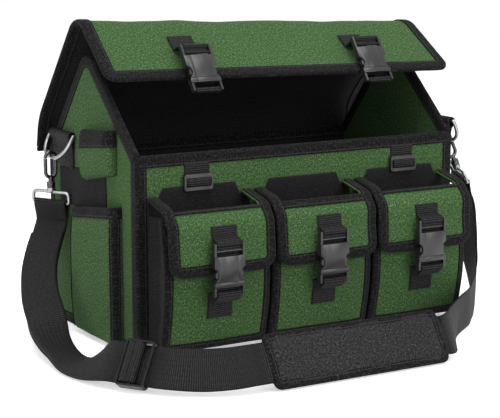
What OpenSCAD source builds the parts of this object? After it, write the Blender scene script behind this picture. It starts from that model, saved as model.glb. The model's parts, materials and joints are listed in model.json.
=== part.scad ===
// Tool bag: an open canvas case with a folding tent lid, three buckled front pockets,
// end pockets, and a shoulder strap that clips to a ring at each end.
// Millimetres. The origin is under the middle of the base, X runs along the front,
// -Y is the front and Z is up. The lid is modelled half open, standing like a roof.

/* [Case] */
// Length of the case along its front
case_l = 460; // [420:5:520]
// Depth of the case from front to back
case_d = 250; // [230:5:280]
// Height of the front wall
front_h = 240; // [225:1:260]
// Height of the back wall, where the lid is sewn on
back_h = 222; // [210:1:226]
// Height at which the two slopes of an end panel would meet
peak_h = 360; // [335:1:370]
// Distance of the peaks behind the middle of the case
peak_y = 10; // [0:1:20]
// Radius that rounds the peak of an end panel
peak_r = 26; // [15:1:30]
// Thickness of the stiffened canvas walls
wall_t = 5; // [3:0.5:6]
// Width of the binding tape that shows on each side of an edge
tape_w = 13; // [8:0.5:16]
// Thickness of the binding tape
tape_t = 1.2; // [0.8:0.1:1.6]
// Thickness of the stiffening board in the base
board_t = 3; // [2:0.5:5]
// Gap between the stiffening board and the walls
board_play = 1.5; // [0.5:0.5:4]

/* [Lid] */
// Distance that the lid reaches past each end panel
lid_over = 15; // [8:1:18]
// Thickness of the padded lid
lid_t = 4; // [3:0.5:5]
// Radius of the bead along the lid's sewn edge
lid_bead_r = 3.6; // [3.4:0.1:4]
// Gap between the bead and the back wall's tape
lid_bead_gap = 0.4; // [0.3:0.1:1]
// Height of the lid's sewn edge below the back wall's top
lid_hinge_drop = 1; // [0:0.5:4]
// Depth position at which the two slopes of the lid would meet
lid_ridge_y = 3.5; // [0:0.5:8]
// Height at which the two slopes of the lid would meet
lid_ridge_z = 398; // [394:1:408]
// Radius of the lid's ridge
lid_ridge_r = 27; // [20:1:30]
// Depth position of the lid's front edge
lid_edge_y = -90; // [-96:1:-84]
// Height of the lid's front edge
lid_edge_z = 326; // [322:0.5:332]
// Gap at the ridge between the lid's two panels
lid_fold_gap = 1; // [0.8:0.1:2]
// Radius of the lid's front corners
lid_corner_r = 14; // [8:1:20]

/* [Webbing] */
// Width of the webbing on the lid and the front pockets
web_w = 33; // [26:1:34]
// Thickness of that webbing
web_t = 1.6; // [1.2:0.1:2]
// Distance of each lid strap from the middle
lid_strap_x = 125; // [110:1:150]
// Distance of each closure strap on the front wall from the middle
front_strap_x = 150; // [130:1:165]
// Height of the closure straps' lower ends
front_strap_z = 186; // [180:1:200]

/* [Front pockets] */
// Width of each front pocket
pocket_w = 140; // [120:1:144]
// Distance between the centres of neighbouring pockets
pocket_pitch = 147; // [146:1:152]
// Height of the pockets' bottom above the floor
pocket_z = 12; // [8:1:20]
// Height of the pockets' front edge
pocket_top = 172; // [165:1:174]
// Depth of a pocket at its bottom
pocket_low_d = 40; // [34:1:44]
// Depth of a pocket where it bulges most
pocket_mid_d = 50; // [44:1:51]
// Depth of a pocket at its top edge
pocket_top_d = 41; // [36:1:42]
// Thickness of the pockets' canvas
pocket_t = 2.5; // [2:0.25:3]
// Height at which the flaps are sewn to the front wall
flap_z = 190; // [188:1:196]
// Width of the flap's side arms, beside the open window
flap_arm_w = 13; // [10:0.5:16]
// Thickness of the flaps
flap_t = 3; // [2:0.25:3.5]
// Height of the flap's lower edge
flap_low_z = 106; // [100:1:120]
// Height of the shoulder where the flap turns down
flap_turn_z = 163; // [158:1:168]
// Distance that the flap's face stands in front of the wall
flap_face_d = 60; // [58:1:66]
// Radius of the flap's lower corners
flap_corner_r = 15; // [8:1:20]

/* [Side-release buckles] */
// Width of a buckle
buckle_w = 41; // [40:0.5:44]
// Length of a closed buckle
buckle_l = 64; // [62:0.5:68]
// Thickness of a buckle in its middle
buckle_t = 10; // [9:0.5:11]
// Wall of the socket
socket_wall = 2; // [1.8:0.1:2.2]
// Length of the plug's base, from its end to the socket's mouth
plug_base_l = 17; // [16:0.5:18]
// Length of the ladder that holds the strap on the socket
ladder_l = 16; // [15:0.5:18]
// Thickness of the strap bars
bar_t = 3; // [2.5:0.1:3.2]
// Radius of the release notches in the socket's sides
notch_r = 9; // [8.5:0.1:9.5]
// Radius of the buttons on the plug's arms
button_r = 5.6; // [5:0.1:5.7]

/* [Side pockets] */
// Width of the lower side pockets
side_w = 116; // [90:1:118]
// Depth position of the left lower pocket's middle
side_y = -28; // [-32:1:-12]
// Height of the lower side pockets
side_h = 168; // [150:1:172]
// Distance that the lower side pockets bulge
side_bulge = 26; // [20:1:28]
// Width of the upper side pouch
pouch_w = 82; // [60:1:86]
// Depth position of the upper side pouch's middle
pouch_y = -33; // [-40:1:-25]
// Height of the upper side pouch's lower edge
pouch_z = 205; // [200:1:210]
// Height of the upper side pouch
pouch_h = 57; // [40:1:60]
// Distance that the upper side pouch bulges
pouch_bulge = 14; // [10:1:16]
// Thickness of the side pockets' canvas
side_t = 2.5; // [2:0.25:3]

/* [Rings and hooks] */
// Distance of the left ring's middle from the back of the case
left_ring_in = 49; // [48:1:60]
// Distance of the right ring's middle from the front of the case
right_ring_in = 35; // [34:1:44]
// Height of the left ring's straight bar above the front wall
ring_up = 6; // [4:1:10]
// Height of the right ring above the left one
right_ring_rise = 8; // [0:1:9]
// Radius of the ring's wire
ring_wire_r = 2.5; // [2:0.1:2.6]
// Half of the ring's width, to the middle of its wire
ring_half = 34; // [32:0.5:34]
// Radius of the ring's two bends
ring_r = 26; // [22:0.5:28]
// Length of the ring's straight sides
ring_leg = 6; // [4:0.5:8]
// Angle that the rings stand out from the end panels
ring_lean = 28; // [26:1:32]
// Radius of the hook's bends to the middle of its wire
hook_r = 7; // [6.8:0.1:8]
// Length of the hook's straight sides
hook_side = 18; // [16:0.5:22]
// Radius of the hook's wire
hook_wire_r = 2.4; // [2:0.1:2.5]
// Width inside the eye that takes the shoulder strap
eye_w = 51; // [50.5:0.5:54]
// Height of the eye between its bars' middles
eye_h = 14; // [12:0.5:16]
// Radius of the eye's wire
eye_wire_r = 2.2; // [2:0.1:2.4]
// Angle that the left eye is turned from the end towards the front
left_eye_turn = 60; // [58:1:66]
// Angle that the right eye is turned from the end towards the front
right_eye_turn = 72; // [66:1:74]
// Angle that the strap pulls the right hook outwards
hook_out = 25; // [22:1:27]
// Distance that the left hook hangs behind the ring's middle
hook_off = 4; // [0:0.5:5]

/* [Shoulder strap] */
// Width of the shoulder strap
strap_w = 48; // [44:1:49]
// Thickness of the shoulder strap
strap_t = 2; // [1.5:0.1:2.2]
// Length of the shoulder pad
pad_l = 238; // [200:1:240]
// Width of the shoulder pad
pad_w = 63; // [60:1:70]
// Thickness of the shoulder pad
pad_t = 11; // [10:0.5:14]
// Angle that the pad leans back
pad_lean = 32; // [30:1:34]
// Angle that the strap leans back at the slider
slider_lean = 35; // [33:1:36]
// Length of the strap slider's frame
slider_l = 38; // [34:1:42]
// Thickness of the space inside the strap slider
slider_t = 7; // [7:0.5:10]

/* [Hidden] */
$fn = 48;

// Colours
CANVAS = [0.22, 0.36, 0.19];
TAPE = [0.10, 0.10, 0.11];
WEBBING = [0.13, 0.13, 0.14];
LINING = [0.07, 0.07, 0.08];
PLASTIC = [0.27, 0.27, 0.28];
NICKEL = [0.72, 0.73, 0.75];
BLACK_METAL = [0.16, 0.16, 0.17];

// Shared clearances and overruns
overrun = 2;          // how far a cut runs past what it cuts
seat_gap = 0.3;       // between a soft piece and what it lies against
arc_steps = 6;        // flats along a rounded corner
half_l = case_l / 2;
half_d = case_d / 2;
left_ring_y = half_d - left_ring_in;
right_ring_y = right_ring_in - half_d;
ring_z = front_h + ring_up;
big = 2 * (case_l + case_d);

// The corners of a path, each rounded by its own radius.
function unit(v) = v / norm(v);
function fillet(a, b, c, r) =
    let (u = unit(a - b), w = unit(c - b), half = acos(u * w) / 2,
         centre = b + unit(u + w) * r / sin(half),
         from = b + u * r / tan(half) - centre,
         to = b + w * r / tan(half) - centre,
         start = atan2(from.y, from.x),
         swing = atan2(to.y, to.x) - start,
         turn = swing > 180 ? swing - 360 : swing < -180 ? swing + 360 : swing)
    r == 0 ? [b] : [for (i = [0:arc_steps]) centre + r * [cos(start + turn * i / arc_steps),
                                                          sin(start + turn * i / arc_steps)]];
function round_loop(points, radii) =
    let (n = len(points))
    [for (i = [0:n - 1]) each fillet(points[(i + n - 1) % n], points[i], points[(i + 1) % n], radii[i])];
function round_path(points, radii) =
    let (last = len(points) - 1)
    [for (i = [0:last]) each (i == 0 || i == last) ? [points[i]]
        : fillet(points[i - 1], points[i], points[i + 1], radii[i])];

// A path moved sideways by d, to its left when d is positive.
function left_of(v) = [-v.y, v.x] / norm(v);
function beside(path, d) =
    let (last = len(path) - 1)
    [for (i = [0:last])
        let (a = left_of(path[max(i, 1)] - path[max(i, 1) - 1]),
             b = left_of(path[min(i, last - 1) + 1] - path[min(i, last - 1)]))
        path[i] + (a + b) * d / (1 + a * b)];
function band(path, low, high) =
    let (near = beside(path, low), far = beside(path, high), last = len(path) - 1)
    concat(near, [for (i = [last:-1:0]) far[i]]);
// The part of a path after its first k points.
function from_point(path, k) = [for (i = [k:len(path) - 1]) path[i]];
function up_to_point(path, k) = [for (i = [0:k]) path[i]];
// A path cut back at its start, or at its end, by a length.
function trim_start(path, d) = concat([path[0] + d * unit(path[1] - path[0])], from_point(path, 1));
function trim_end(path, d) =
    let (last = len(path) - 1)
    concat(up_to_point(path, last - 1), [path[last] + d * unit(path[last - 1] - path[last])]);

// Stands an outline drawn in depth and height upright, and runs it along X.
module along_x(x0, x1, outline) {
    translate([x0, 0, 0]) rotate([90, 0, 90]) linear_extrude(x1 - x0) polygon(outline);
}
module block(low, high) { translate(low) cube(high - low); }
module rounded_plate(w, h, r, t) {
    translate([0, 0, -t / 2]) linear_extrude(t)
        polygon(round_loop([[-w / 2, -h / 2], [w / 2, -h / 2], [w / 2, h / 2], [-w / 2, h / 2]], [r, r, r, r]));
}
// A straight wire with round ends between two points.
module wire(a, b, r) {
    v = b - a;
    translate(a) rotate([0, acos(v.z / norm(v)), atan2(v.y, v.x)]) cylinder(r = r, h = norm(v));
    translate(a) sphere(r = r);
    translate(b) sphere(r = r);
}

// Case: the end panels' outline in depth and height.
end_path = round_path([[-half_d, front_h], [peak_y, peak_h], [half_d, back_h]], [0, peak_r, 0]);
end_outline = concat([[-half_d, 0]], end_path, [[half_d, 0]]);

module bottom_panel() {
    color(CANVAS) block([-half_l + wall_t, -half_d + wall_t, 0], [half_l - wall_t, half_d - wall_t, wall_t]);
}

module base_board() {
    reach = wall_t + board_play;
    color(LINING) block([-half_l + reach, -half_d + reach, wall_t], [half_l - reach, half_d - reach, wall_t + board_t]);
}

module front_wall() {
    color(CANVAS) block([-half_l + wall_t, -half_d, 0], [half_l - wall_t, -half_d + wall_t, front_h]);
}

module back_wall() {
    color(LINING) block([-half_l + wall_t, half_d - wall_t, 0], [half_l - wall_t, half_d, back_h]);
}

module end_panel() {
    color(CANVAS) along_x(-half_l, -half_l + wall_t, end_outline);
}
module left_end() { end_panel(); }
module right_end() { mirror([1, 0, 0]) end_panel(); }

// Binding tape folded over every top edge: the space it fills, walls included.
module rim_space() {
    for (side = [0, 1]) mirror([side, 0, 0])
        along_x(-half_l - tape_t, -half_l + wall_t + tape_t, band(end_path, -tape_w, tape_t));
    block([-half_l + wall_t, -half_d - tape_t, front_h - tape_w],
          [half_l - wall_t, -half_d + wall_t + tape_t, front_h + tape_t]);
    block([-half_l + wall_t, half_d - wall_t - tape_t, back_h - tape_w],
          [half_l - wall_t, half_d + tape_t, back_h + tape_t]);
}

module rim_bindings() {
    color(TAPE) difference() {
        rim_space();
        left_end();
        right_end();
        front_wall();
        back_wall();
        tab_rooms();
    }
}

// Binding tape over the four upright corners and along the foot of the case.
module seam_bindings() {
    color(TAPE) difference() {
        block([-half_l - tape_t, -half_d - tape_t, 0], [half_l + tape_t, half_d + tape_t, front_h]);
        block([-half_l, -half_d, -overrun], [half_l, half_d, front_h + overrun]);
        block([-half_l + tape_w, -half_d - tape_t - overrun, tape_w],
              [half_l - tape_w, half_d + tape_t + overrun, front_h + overrun]);
        block([-half_l - tape_t - overrun, -half_d + tape_w, tape_w],
              [half_l + tape_t + overrun, half_d - tape_w, front_h + overrun]);
        block([-half_l - tape_t - overrun, half_d - tape_w - overrun, back_h - tape_w],
              [half_l + tape_t + overrun, half_d + tape_t + overrun, front_h + overrun]);
        rim_space();
        tab_rooms();
    }
}

// Front pockets: the canvas front bulges between its seams.
pocket_bow = 6;
pocket_bow_r = 250;
pocket_arc = round_path([[-half_d - pocket_low_d, pocket_z],
                         [-half_d - pocket_mid_d - pocket_bow, (pocket_z + pocket_top) / 2],
                         [-half_d - pocket_top_d, pocket_top]],
                        [0, pocket_bow_r, 0]);
pocket_in = beside(pocket_arc, -pocket_t);
gusset_t = 1.6;
gusset_fold = 5;      // depth of the pleat in a gusset

function pocket_x(n) = (n - 2) * pocket_pitch;

module pocket_front(n) {
    translate([pocket_x(n), 0, 0]) along_x(-pocket_w / 2, pocket_w / 2, band(pocket_arc, -pocket_t, 0));
}
module pocket_fronts() { color(CANVAS) for (n = [1:3]) pocket_front(n); }

// Each gusset is a pleated strip: two upright panels that meet in a fold turned inwards.
module gusset_wall() {
    depth = pocket_low_d - pocket_t;
    fold_y = -half_d - depth / 2;
    color(LINING) intersection() {
        linear_extrude(pocket_top) polygon(band([[-pocket_w / 2 + gusset_t, -half_d - pocket_mid_d],
            [-pocket_w / 2 + gusset_t, -half_d - depth],
            [-pocket_w / 2 + gusset_t + gusset_fold, fold_y],
            [-pocket_w / 2 + gusset_t, -half_d]], -gusset_t / 2, gusset_t / 2));
        along_x(-pocket_w, 0, concat([[-half_d, pocket_z], [-half_d, pocket_top]],
            [for (i = [len(pocket_in) - 1:-1:0]) pocket_in[i]]));
    }
}
module pocket_gussets() {
    color(LINING) for (n = [1:3]) translate([pocket_x(n), 0, 0]) {
        gusset_wall();
        mirror([1, 0, 0]) gusset_wall();
        block([-pocket_w / 2, -half_d - pocket_low_d, pocket_z - gusset_t - seat_gap],
              [pocket_w / 2, -half_d - tape_t, pocket_z - seat_gap]);
    }
}

// Flap of a front pocket: two arms from the wall, then a sheet that turns down over the front.
flap_bead_r = 2.4;
flap_pin_y = -half_d - seat_gap - flap_bead_r;
flap_arm_drop = 9;
flap_turn_r = 12;
flap_lead = 17;       // how far the slope runs between the arms and the face
flap_path = round_path([[flap_pin_y, flap_z],
                        [-half_d - flap_face_d + flap_lead, flap_z - flap_arm_drop],
                        [-half_d - flap_face_d + flap_t, flap_turn_z],
                        [-half_d - flap_face_d, flap_low_z]],
                       [0, flap_turn_r, flap_turn_r, 0]);
flap_tape_t = 1;
window_y = -half_d - flap_face_d + flap_lead;

// The flap seen from the front, less its edges by inset.
module flap_face_prism(inset) {
    low = flap_low_z + inset;
    high = flap_z + flap_bead_r + overrun;
    r = max(flap_corner_r - inset, flap_t);
    w = pocket_w / 2 - inset;
    rotate([90, 0, 0]) linear_extrude(big)
        polygon(round_loop([[-w, low], [w, low], [w, high], [-w, high]], [r, r, 0, 0]));
}
module flap_window(inset) {
    w = pocket_w / 2 - flap_arm_w + inset;
    block([-w, window_y - inset, flap_turn_z], [w, 0, flap_z + flap_bead_r + overrun]);
}
module flap_sheet() {
    difference() {
        intersection() {
            along_x(-pocket_w / 2, pocket_w / 2, band(trim_start(flap_path, flap_bead_r + seat_gap), -flap_t / 2, flap_t / 2));
            flap_face_prism(0);
        }
        flap_window(0);
    }
}
module flap_tape() {
    path = trim_end(trim_start(flap_path, flap_bead_r + seat_gap), -flap_tape_t);
    difference() {
        intersection() {
            along_x(-pocket_w / 2 - flap_tape_t, pocket_w / 2 + flap_tape_t,
                    band(path, -flap_t / 2 - flap_tape_t, flap_t / 2 + flap_tape_t));
            flap_face_prism(-flap_tape_t);
        }
        flap_window(0);
        flap_face_prism(tape_w);
        flap_sheet();
    }
}
module flap_beads() {
    for (side = [-1, 1]) translate([side * (pocket_w - flap_arm_w) / 2, flap_pin_y, flap_z])
        rotate([0, 90, 0]) cylinder(r = flap_bead_r, h = flap_arm_w - 2 * seat_gap, center = true);
}
module pocket_flap(n) {
    translate([pocket_x(n), 0, 0]) {
        color(CANVAS) flap_sheet();
        color(TAPE) flap_tape();
        color(TAPE) flap_beads();
    }
}
module pocket_1_flap() { pocket_flap(1); }
module pocket_2_flap() { pocket_flap(2); }
module pocket_3_flap() { pocket_flap(3); }

// Buckle, in its own frame: middle at the origin, Y up the strap, Z away from the bag.
buckle_top = buckle_l / 2;
mouth_y = -buckle_top + plug_base_l;      // the socket's mouth, and the end of the plug's base
mouth_gap = 0.5;
face_top = buckle_top - ladder_l;
rail_w = 3;
rail_t = 6;
crown = 1.2;          // how much the face is higher in its middle than at its sides
notch_x = buckle_w / 2 + 3.5;
notch_y = mouth_y + 9;
cavity_w = buckle_w - 4 * socket_wall;
cavity_t = buckle_t - 2 * socket_wall;
part_gap = 0.4;       // between the plug's parts and the socket's cavity
arm_t = cavity_t - 2 * part_gap;
arm_root = [11, mouth_y + 1.8];
arm_root_r = 1.5;
arm_bar_w = 3;
arm_tip_y = mouth_y + 20;
button_x = 13;
tongue_w = 5;
bar_in = 1.5;         // how far a strap bar's middle lies inside the buckle's end

module crowned(t) {
    crown_r = (pow(buckle_w / 2, 2) + pow(crown, 2)) / (2 * crown);
    intersection() {
        translate([0, 0, -t / 2]) linear_extrude(t) children();
        translate([0, 0, t / 2 - crown_r]) rotate([90, 0, 0]) cylinder(r = crown_r, h = big, center = true, $fn = 180);
    }
}
module rail_pair(y0, y1) {
    for (side = [-1, 1]) translate([side * (buckle_w - rail_w) / 2, (y0 + y1) / 2, 0])
        rounded_plate(rail_w, y1 - y0, rail_w / 3, rail_t);
}
module strap_bar(y) {
    translate([0, y, 0]) rotate([0, 90, 0]) cylinder(r = bar_t / 2, h = buckle_w - rail_w, center = true);
}
module buckle_socket() {
    color(PLASTIC) difference() {
        union() {
            crowned(buckle_t) polygon(round_loop(
                [[-buckle_w / 2, mouth_y + mouth_gap], [buckle_w / 2, mouth_y + mouth_gap],
                 [buckle_w / 2, face_top], [-buckle_w / 2, face_top]],
                [rail_w / 2, rail_w / 2, rail_w / 2, rail_w / 2]));
            rail_pair(face_top - rail_w, buckle_top);
            strap_bar(buckle_top - bar_in - part_gap);
            strap_bar(face_top + ladder_l / 3 + part_gap);
        }
        block([-cavity_w / 2, mouth_y - overrun, -cavity_t / 2], [cavity_w / 2, face_top - 2 * socket_wall, cavity_t / 2]);
        for (side = [-1, 1]) translate([side * notch_x, notch_y, 0]) cylinder(r = notch_r, h = 2 * buckle_t, center = true);
    }
}
module buckle_plug() {
    slot_l = plug_base_l - 2 * bar_t - rail_w;
    color(PLASTIC) {
        difference() {
            crowned(buckle_t) polygon(round_loop(
                [[-buckle_w / 2, mouth_y - rail_w - bar_t], [buckle_w / 2, mouth_y - rail_w - bar_t],
                 [buckle_w / 2, mouth_y], [-buckle_w / 2, mouth_y]],
                [rail_w / 3, rail_w / 3, rail_w / 2, rail_w / 2]));
            for (side = [-1, 1]) translate([side * arm_root.x, arm_root.y, 0])
                cylinder(r = arm_root_r + seat_gap, h = 2 * buckle_t, center = true);
        }
        rail_pair(-buckle_top, mouth_y - bar_t - rail_w);
        strap_bar(-buckle_top + bar_in + part_gap);
        block([-tongue_w / 2, mouth_y, -arm_t / 2], [tongue_w / 2, face_top - 4 * socket_wall, arm_t / 2]);
    }
}
// The right arm at rest: a bar that bends at its root, with a button and a tapering tip.
module buckle_arm() {
    color(PLASTIC) translate([0, 0, -arm_t / 2]) linear_extrude(arm_t) {
        translate(arm_root) circle(r = arm_root_r);
        polygon([[arm_root.x - arm_root_r, arm_root.y], [arm_root.x + arm_root_r, arm_root.y],
                 [button_x + arm_bar_w / 2, notch_y], [button_x + arm_bar_w / 2, notch_y + button_r],
                 [button_x, arm_tip_y], [button_x - arm_bar_w / 2, arm_tip_y],
                 [arm_root.x - arm_root_r, notch_y + button_r]]);
        intersection() {
            translate([button_x, notch_y]) circle(r = button_r);
            translate([button_x, notch_y - button_r]) square([button_r, 2 * button_r]);
        }
    }
}

// Where the buckles sit: on the flaps upright, on the lid leaning outwards.
buckle_stand = 5;
pocket_buckle_z = 112;
pocket_buckle_y = -half_d - flap_face_d - flap_t / 2 - flap_tape_t - buckle_t / 2 - buckle_stand;
module at_pocket_buckle(n) { translate([pocket_x(n), pocket_buckle_y, pocket_buckle_z]) rotate([90, 0, 0]) children(); }

module pocket_1_socket() { at_pocket_buckle(1) buckle_socket(); }
module pocket_2_socket() { at_pocket_buckle(2) buckle_socket(); }
module pocket_3_socket() { at_pocket_buckle(3) buckle_socket(); }
module pocket_1_plug() { at_pocket_buckle(1) buckle_plug(); }
module pocket_2_plug() { at_pocket_buckle(2) buckle_plug(); }
module pocket_3_plug() { at_pocket_buckle(3) buckle_plug(); }
module pocket_1_arm_left() { at_pocket_buckle(1) mirror([1, 0, 0]) buckle_arm(); }
module pocket_1_arm_right() { at_pocket_buckle(1) buckle_arm(); }
module pocket_2_arm_left() { at_pocket_buckle(2) mirror([1, 0, 0]) buckle_arm(); }
module pocket_2_arm_right() { at_pocket_buckle(2) buckle_arm(); }
module pocket_3_arm_left() { at_pocket_buckle(3) mirror([1, 0, 0]) buckle_arm(); }
module pocket_3_arm_right() { at_pocket_buckle(3) buckle_arm(); }

// Webbing that wraps a strap bar: a sleeve of the webbing's thickness.
sleeve_in = bar_t / 2 + part_gap / 2;
sleeve_out = sleeve_in + web_t;
module sleeve_at(p) {
    translate([-web_w / 2, p.x, p.y]) rotate([0, 90, 0]) difference() {
        cylinder(r = sleeve_out, h = web_w);
        translate([0, 0, -overrun]) cylinder(r = sleeve_in, h = web_w + 2 * overrun);
    }
}
// A sleeve with the strap that runs into it along a path in depth and height.
module looped_strap(path, p) {
    difference() {
        along_x(-web_w / 2, web_w / 2, band(path, -web_t / 2, web_t / 2));
        translate([0, p.x, p.y]) rotate([0, 90, 0]) cylinder(r = sleeve_in, h = big, center = true);
    }
    sleeve_at(p);
}

// Flap strap: sewn to the flap's face, then out to the socket's top bar.
flap_sewn_z = [146, 160];
flap_lean = flap_t / (flap_turn_z - flap_low_z);
flap_web = flap_t / 2 + seat_gap + web_t / 2;
function on_flap(z) = [-half_d - flap_face_d + flap_lean * (z - flap_low_z) - flap_web, z];
socket_bar = [pocket_buckle_y, pocket_buckle_z + buckle_top - bar_in - part_gap];
plug_bar = [pocket_buckle_y, pocket_buckle_z - buckle_top + bar_in + part_gap];
module pocket_flap_strap(n) {
    color(WEBBING) translate([pocket_x(n), 0, 0]) {
        looped_strap([on_flap(flap_sewn_z[1]), on_flap(flap_sewn_z[0]),
                      [socket_bar.x + sleeve_in + web_t / 2, socket_bar.y]], socket_bar);
        sleeve_at(plug_bar);
    }
}
module pocket_1_flap_strap() { pocket_flap_strap(1); }
module pocket_2_flap_strap() { pocket_flap_strap(2); }
module pocket_3_flap_strap() { pocket_flap_strap(3); }

// Lid: its profile in depth and height, from the sewn edge over the ridge to the front edge.
lid_pin = [half_d + tape_t + lid_bead_gap + lid_bead_r, back_h - lid_hinge_drop];
lid_knee = [lid_pin.x - 8, lid_pin.y + 40];
lid_knee_r = 60;
lid_ridge = [lid_ridge_y, lid_ridge_z];
lid_edge = [lid_edge_y, lid_edge_z];
lid_path = round_path([lid_pin, lid_knee, lid_ridge, lid_edge], [0, lid_knee_r, lid_ridge_r, 0]);
lid_split = 2 + arc_steps + arc_steps / 2;       // the ridge's middle point on the path
lid_x = half_l + lid_over;
lid_fall = unit(lid_edge - lid_ridge);           // direction down the front slope
lid_out = [lid_fall.y, -lid_fall.x];             // outwards from the front slope
lid_tape_t = tape_t;
lid_back_path = trim_end(trim_start(up_to_point(lid_path, lid_split), lid_bead_r), lid_fold_gap / 2);
lid_front_path = trim_start(from_point(lid_path, lid_split), lid_fold_gap / 2);

module lid_back_panel() {
    color(CANVAS) difference() {
        along_x(-lid_x, lid_x, band(lid_back_path, -lid_t / 2, lid_t / 2));
        translate([0, lid_pin.x, lid_pin.y]) rotate([0, 90, 0]) cylinder(r = lid_bead_r, h = big, center = true);
    }
}
module lid_back_binding() {
    color(TAPE) {
        for (side = [0, 1]) mirror([side, 0, 0]) difference() {
            along_x(-lid_x - lid_tape_t, -lid_x + tape_w, band(lid_back_path, -lid_t / 2 - lid_tape_t, lid_t / 2 + lid_tape_t));
            along_x(-lid_x, -lid_x + tape_w + overrun, band(lid_back_path, -lid_t / 2, lid_t / 2));
            translate([0, lid_pin.x, lid_pin.y]) rotate([0, 90, 0]) cylinder(r = lid_bead_r, h = big, center = true);
        }
        translate([-lid_x, lid_pin.x, lid_pin.y]) rotate([0, 90, 0]) cylinder(r = lid_bead_r, h = 2 * lid_x);
    }
}
// The front slope laid flat on its own plane: X along the lid, Y up the slope from its edge.
module on_front_slope() {
    translate([0, lid_edge.x, lid_edge.y]) rotate([atan2(-lid_fall.y, -lid_fall.x), 0, 0]) children();
}
module lid_front_prism(inset) {
    r = max(lid_corner_r - inset, lid_t);
    w = lid_x - inset;
    high = 2 * norm(lid_ridge - lid_edge);
    on_front_slope() translate([0, 0, -high]) linear_extrude(2 * high)
        polygon(round_loop([[-w, inset], [w, inset], [w, high], [-w, high]], [r, r, 0, 0]));
}
module lid_front_sheet() {
    intersection() {
        along_x(-lid_x, lid_x, band(lid_front_path, -lid_t / 2, lid_t / 2));
        lid_front_prism(0);
    }
}
module lid_front_panel() { color(CANVAS) lid_front_sheet(); }
module lid_front_binding() {
    color(TAPE) difference() {
        intersection() {
            along_x(-lid_x - lid_tape_t, lid_x + lid_tape_t,
                    band(trim_end(lid_front_path, -lid_tape_t), -lid_t / 2 - lid_tape_t, lid_t / 2 + lid_tape_t));
            lid_front_prism(-lid_tape_t);
        }
        lid_front_prism(tape_w);
        lid_front_sheet();
    }
}

// Lid straps: sewn down the front slope, then out to the buckle's top bar.
lid_sewn = [46, 62];              // distances up the slope from the lid's edge
lid_bar_up = 34;
lid_bar_out = 21;
lid_buckle_fall = 56;             // angle of the hanging buckle below level
lid_bar = lid_edge - lid_bar_up * lid_fall + lid_bar_out * lid_out;
lid_buckle_mid = lid_bar - (buckle_top - bar_in - part_gap) * [cos(lid_buckle_fall), sin(lid_buckle_fall)];
lid_web = lid_t / 2 + web_t / 2;
module lid_strap(x) {
    translate([x, 0, 0]) looped_strap([lid_edge - lid_sewn[1] * lid_fall + lid_web * lid_out,
        lid_edge - lid_sewn[0] * lid_fall + lid_web * lid_out,
        lid_bar - (sleeve_in + web_t / 2) * lid_out], lid_bar);
}
module lid_straps() {
    color(WEBBING) for (side = [-1, 1]) lid_strap(side * lid_strap_x);
}
module at_lid_buckle(side) {
    translate([side * lid_strap_x, lid_buckle_mid.x, lid_buckle_mid.y]) rotate([lid_buckle_fall, 0, 0]) children();
}
module lid_tail(side) {
    color(WEBBING) at_lid_buckle(side) translate([0, -buckle_top + bar_in + part_gap, 0])
        sleeve_at([0, 0]);
}
module lid_left_socket() { at_lid_buckle(-1) buckle_socket(); }
module lid_left_plug() { at_lid_buckle(-1) buckle_plug(); }
module lid_left_arm_left() { at_lid_buckle(-1) mirror([1, 0, 0]) buckle_arm(); }
module lid_left_arm_right() { at_lid_buckle(-1) buckle_arm(); }
module lid_left_tail() { lid_tail(-1); }
module lid_right_socket() { at_lid_buckle(1) buckle_socket(); }
module lid_right_plug() { at_lid_buckle(1) buckle_plug(); }
module lid_right_arm_left() { at_lid_buckle(1) mirror([1, 0, 0]) buckle_arm(); }
module lid_right_arm_right() { at_lid_buckle(1) buckle_arm(); }
module lid_right_tail() { lid_tail(1); }

// Body webbing: the pockets' lower straps, the closure straps, and the tabs that hold the rings.
lower_strap_z = 50;
tab_w = 61;
tab_low_z = ring_z - 41;
ring_sleeve_in = ring_wire_r + seat_gap;
ring_sleeve_r = ring_sleeve_in + web_t;
ring_x = -half_l - ring_sleeve_r;
lower_arc = [for (p = pocket_arc) p - [web_t / 2 + seat_gap, 0]];

module lower_strap(n) {
    translate([pocket_x(n), 0, 0]) intersection() {
        along_x(-web_w / 2, web_w / 2, band(lower_arc, -web_t / 2, web_t / 2));
        block([-web_w, -big, lower_strap_z], [web_w, 0, plug_bar.y + sleeve_out]);
    }
}
module closure_strap(side) {
    translate([side * front_strap_x, 0, 0])
        block([-web_w / 2, -half_d - web_t, front_strap_z], [web_w / 2, -half_d, front_h - tape_w]);
}
// In the left end's frame: a strip down the panel, folded over the ring's bar at its top.
module ring_tab(y) {
    translate([0, y, 0]) {
        block([-half_l - web_t, -tab_w / 2, tab_low_z], [-half_l, tab_w / 2, ring_z]);
        block([-half_l - 2 * web_t, -tab_w / 2, tab_low_z], [-half_l, tab_w / 2, ring_z - ring_sleeve_in - web_t / 2]);
        translate([ring_x, 0, ring_z]) rotate([90, 0, 0]) difference() {
            cylinder(r = ring_sleeve_r, h = tab_w, center = true);
            cylinder(r = ring_sleeve_in, h = tab_w + 2 * overrun, center = true);
        }
    }
}
// The room that the tabs take in the tape under them, with a gap all round.
module tab_room(y) {
    block([-half_l - tape_t - overrun, y - tab_w / 2 - seat_gap, tab_low_z - seat_gap],
          [-half_l, y + tab_w / 2 + seat_gap, ring_z + ring_sleeve_r + seat_gap]);
}
module tab_rooms() {
    tab_room(left_ring_y);
    translate([0, 0, right_ring_rise]) mirror([1, 0, 0]) tab_room(right_ring_y);
}
module ring_tabs() {
    ring_tab(left_ring_y);
    translate([0, 0, right_ring_rise]) mirror([1, 0, 0]) ring_tab(right_ring_y);
}
module body_webbing() {
    color(WEBBING) {
        for (n = [1:3]) lower_strap(n);
        for (side = [-1, 1]) closure_strap(side);
        ring_tabs();
    }
}

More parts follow.
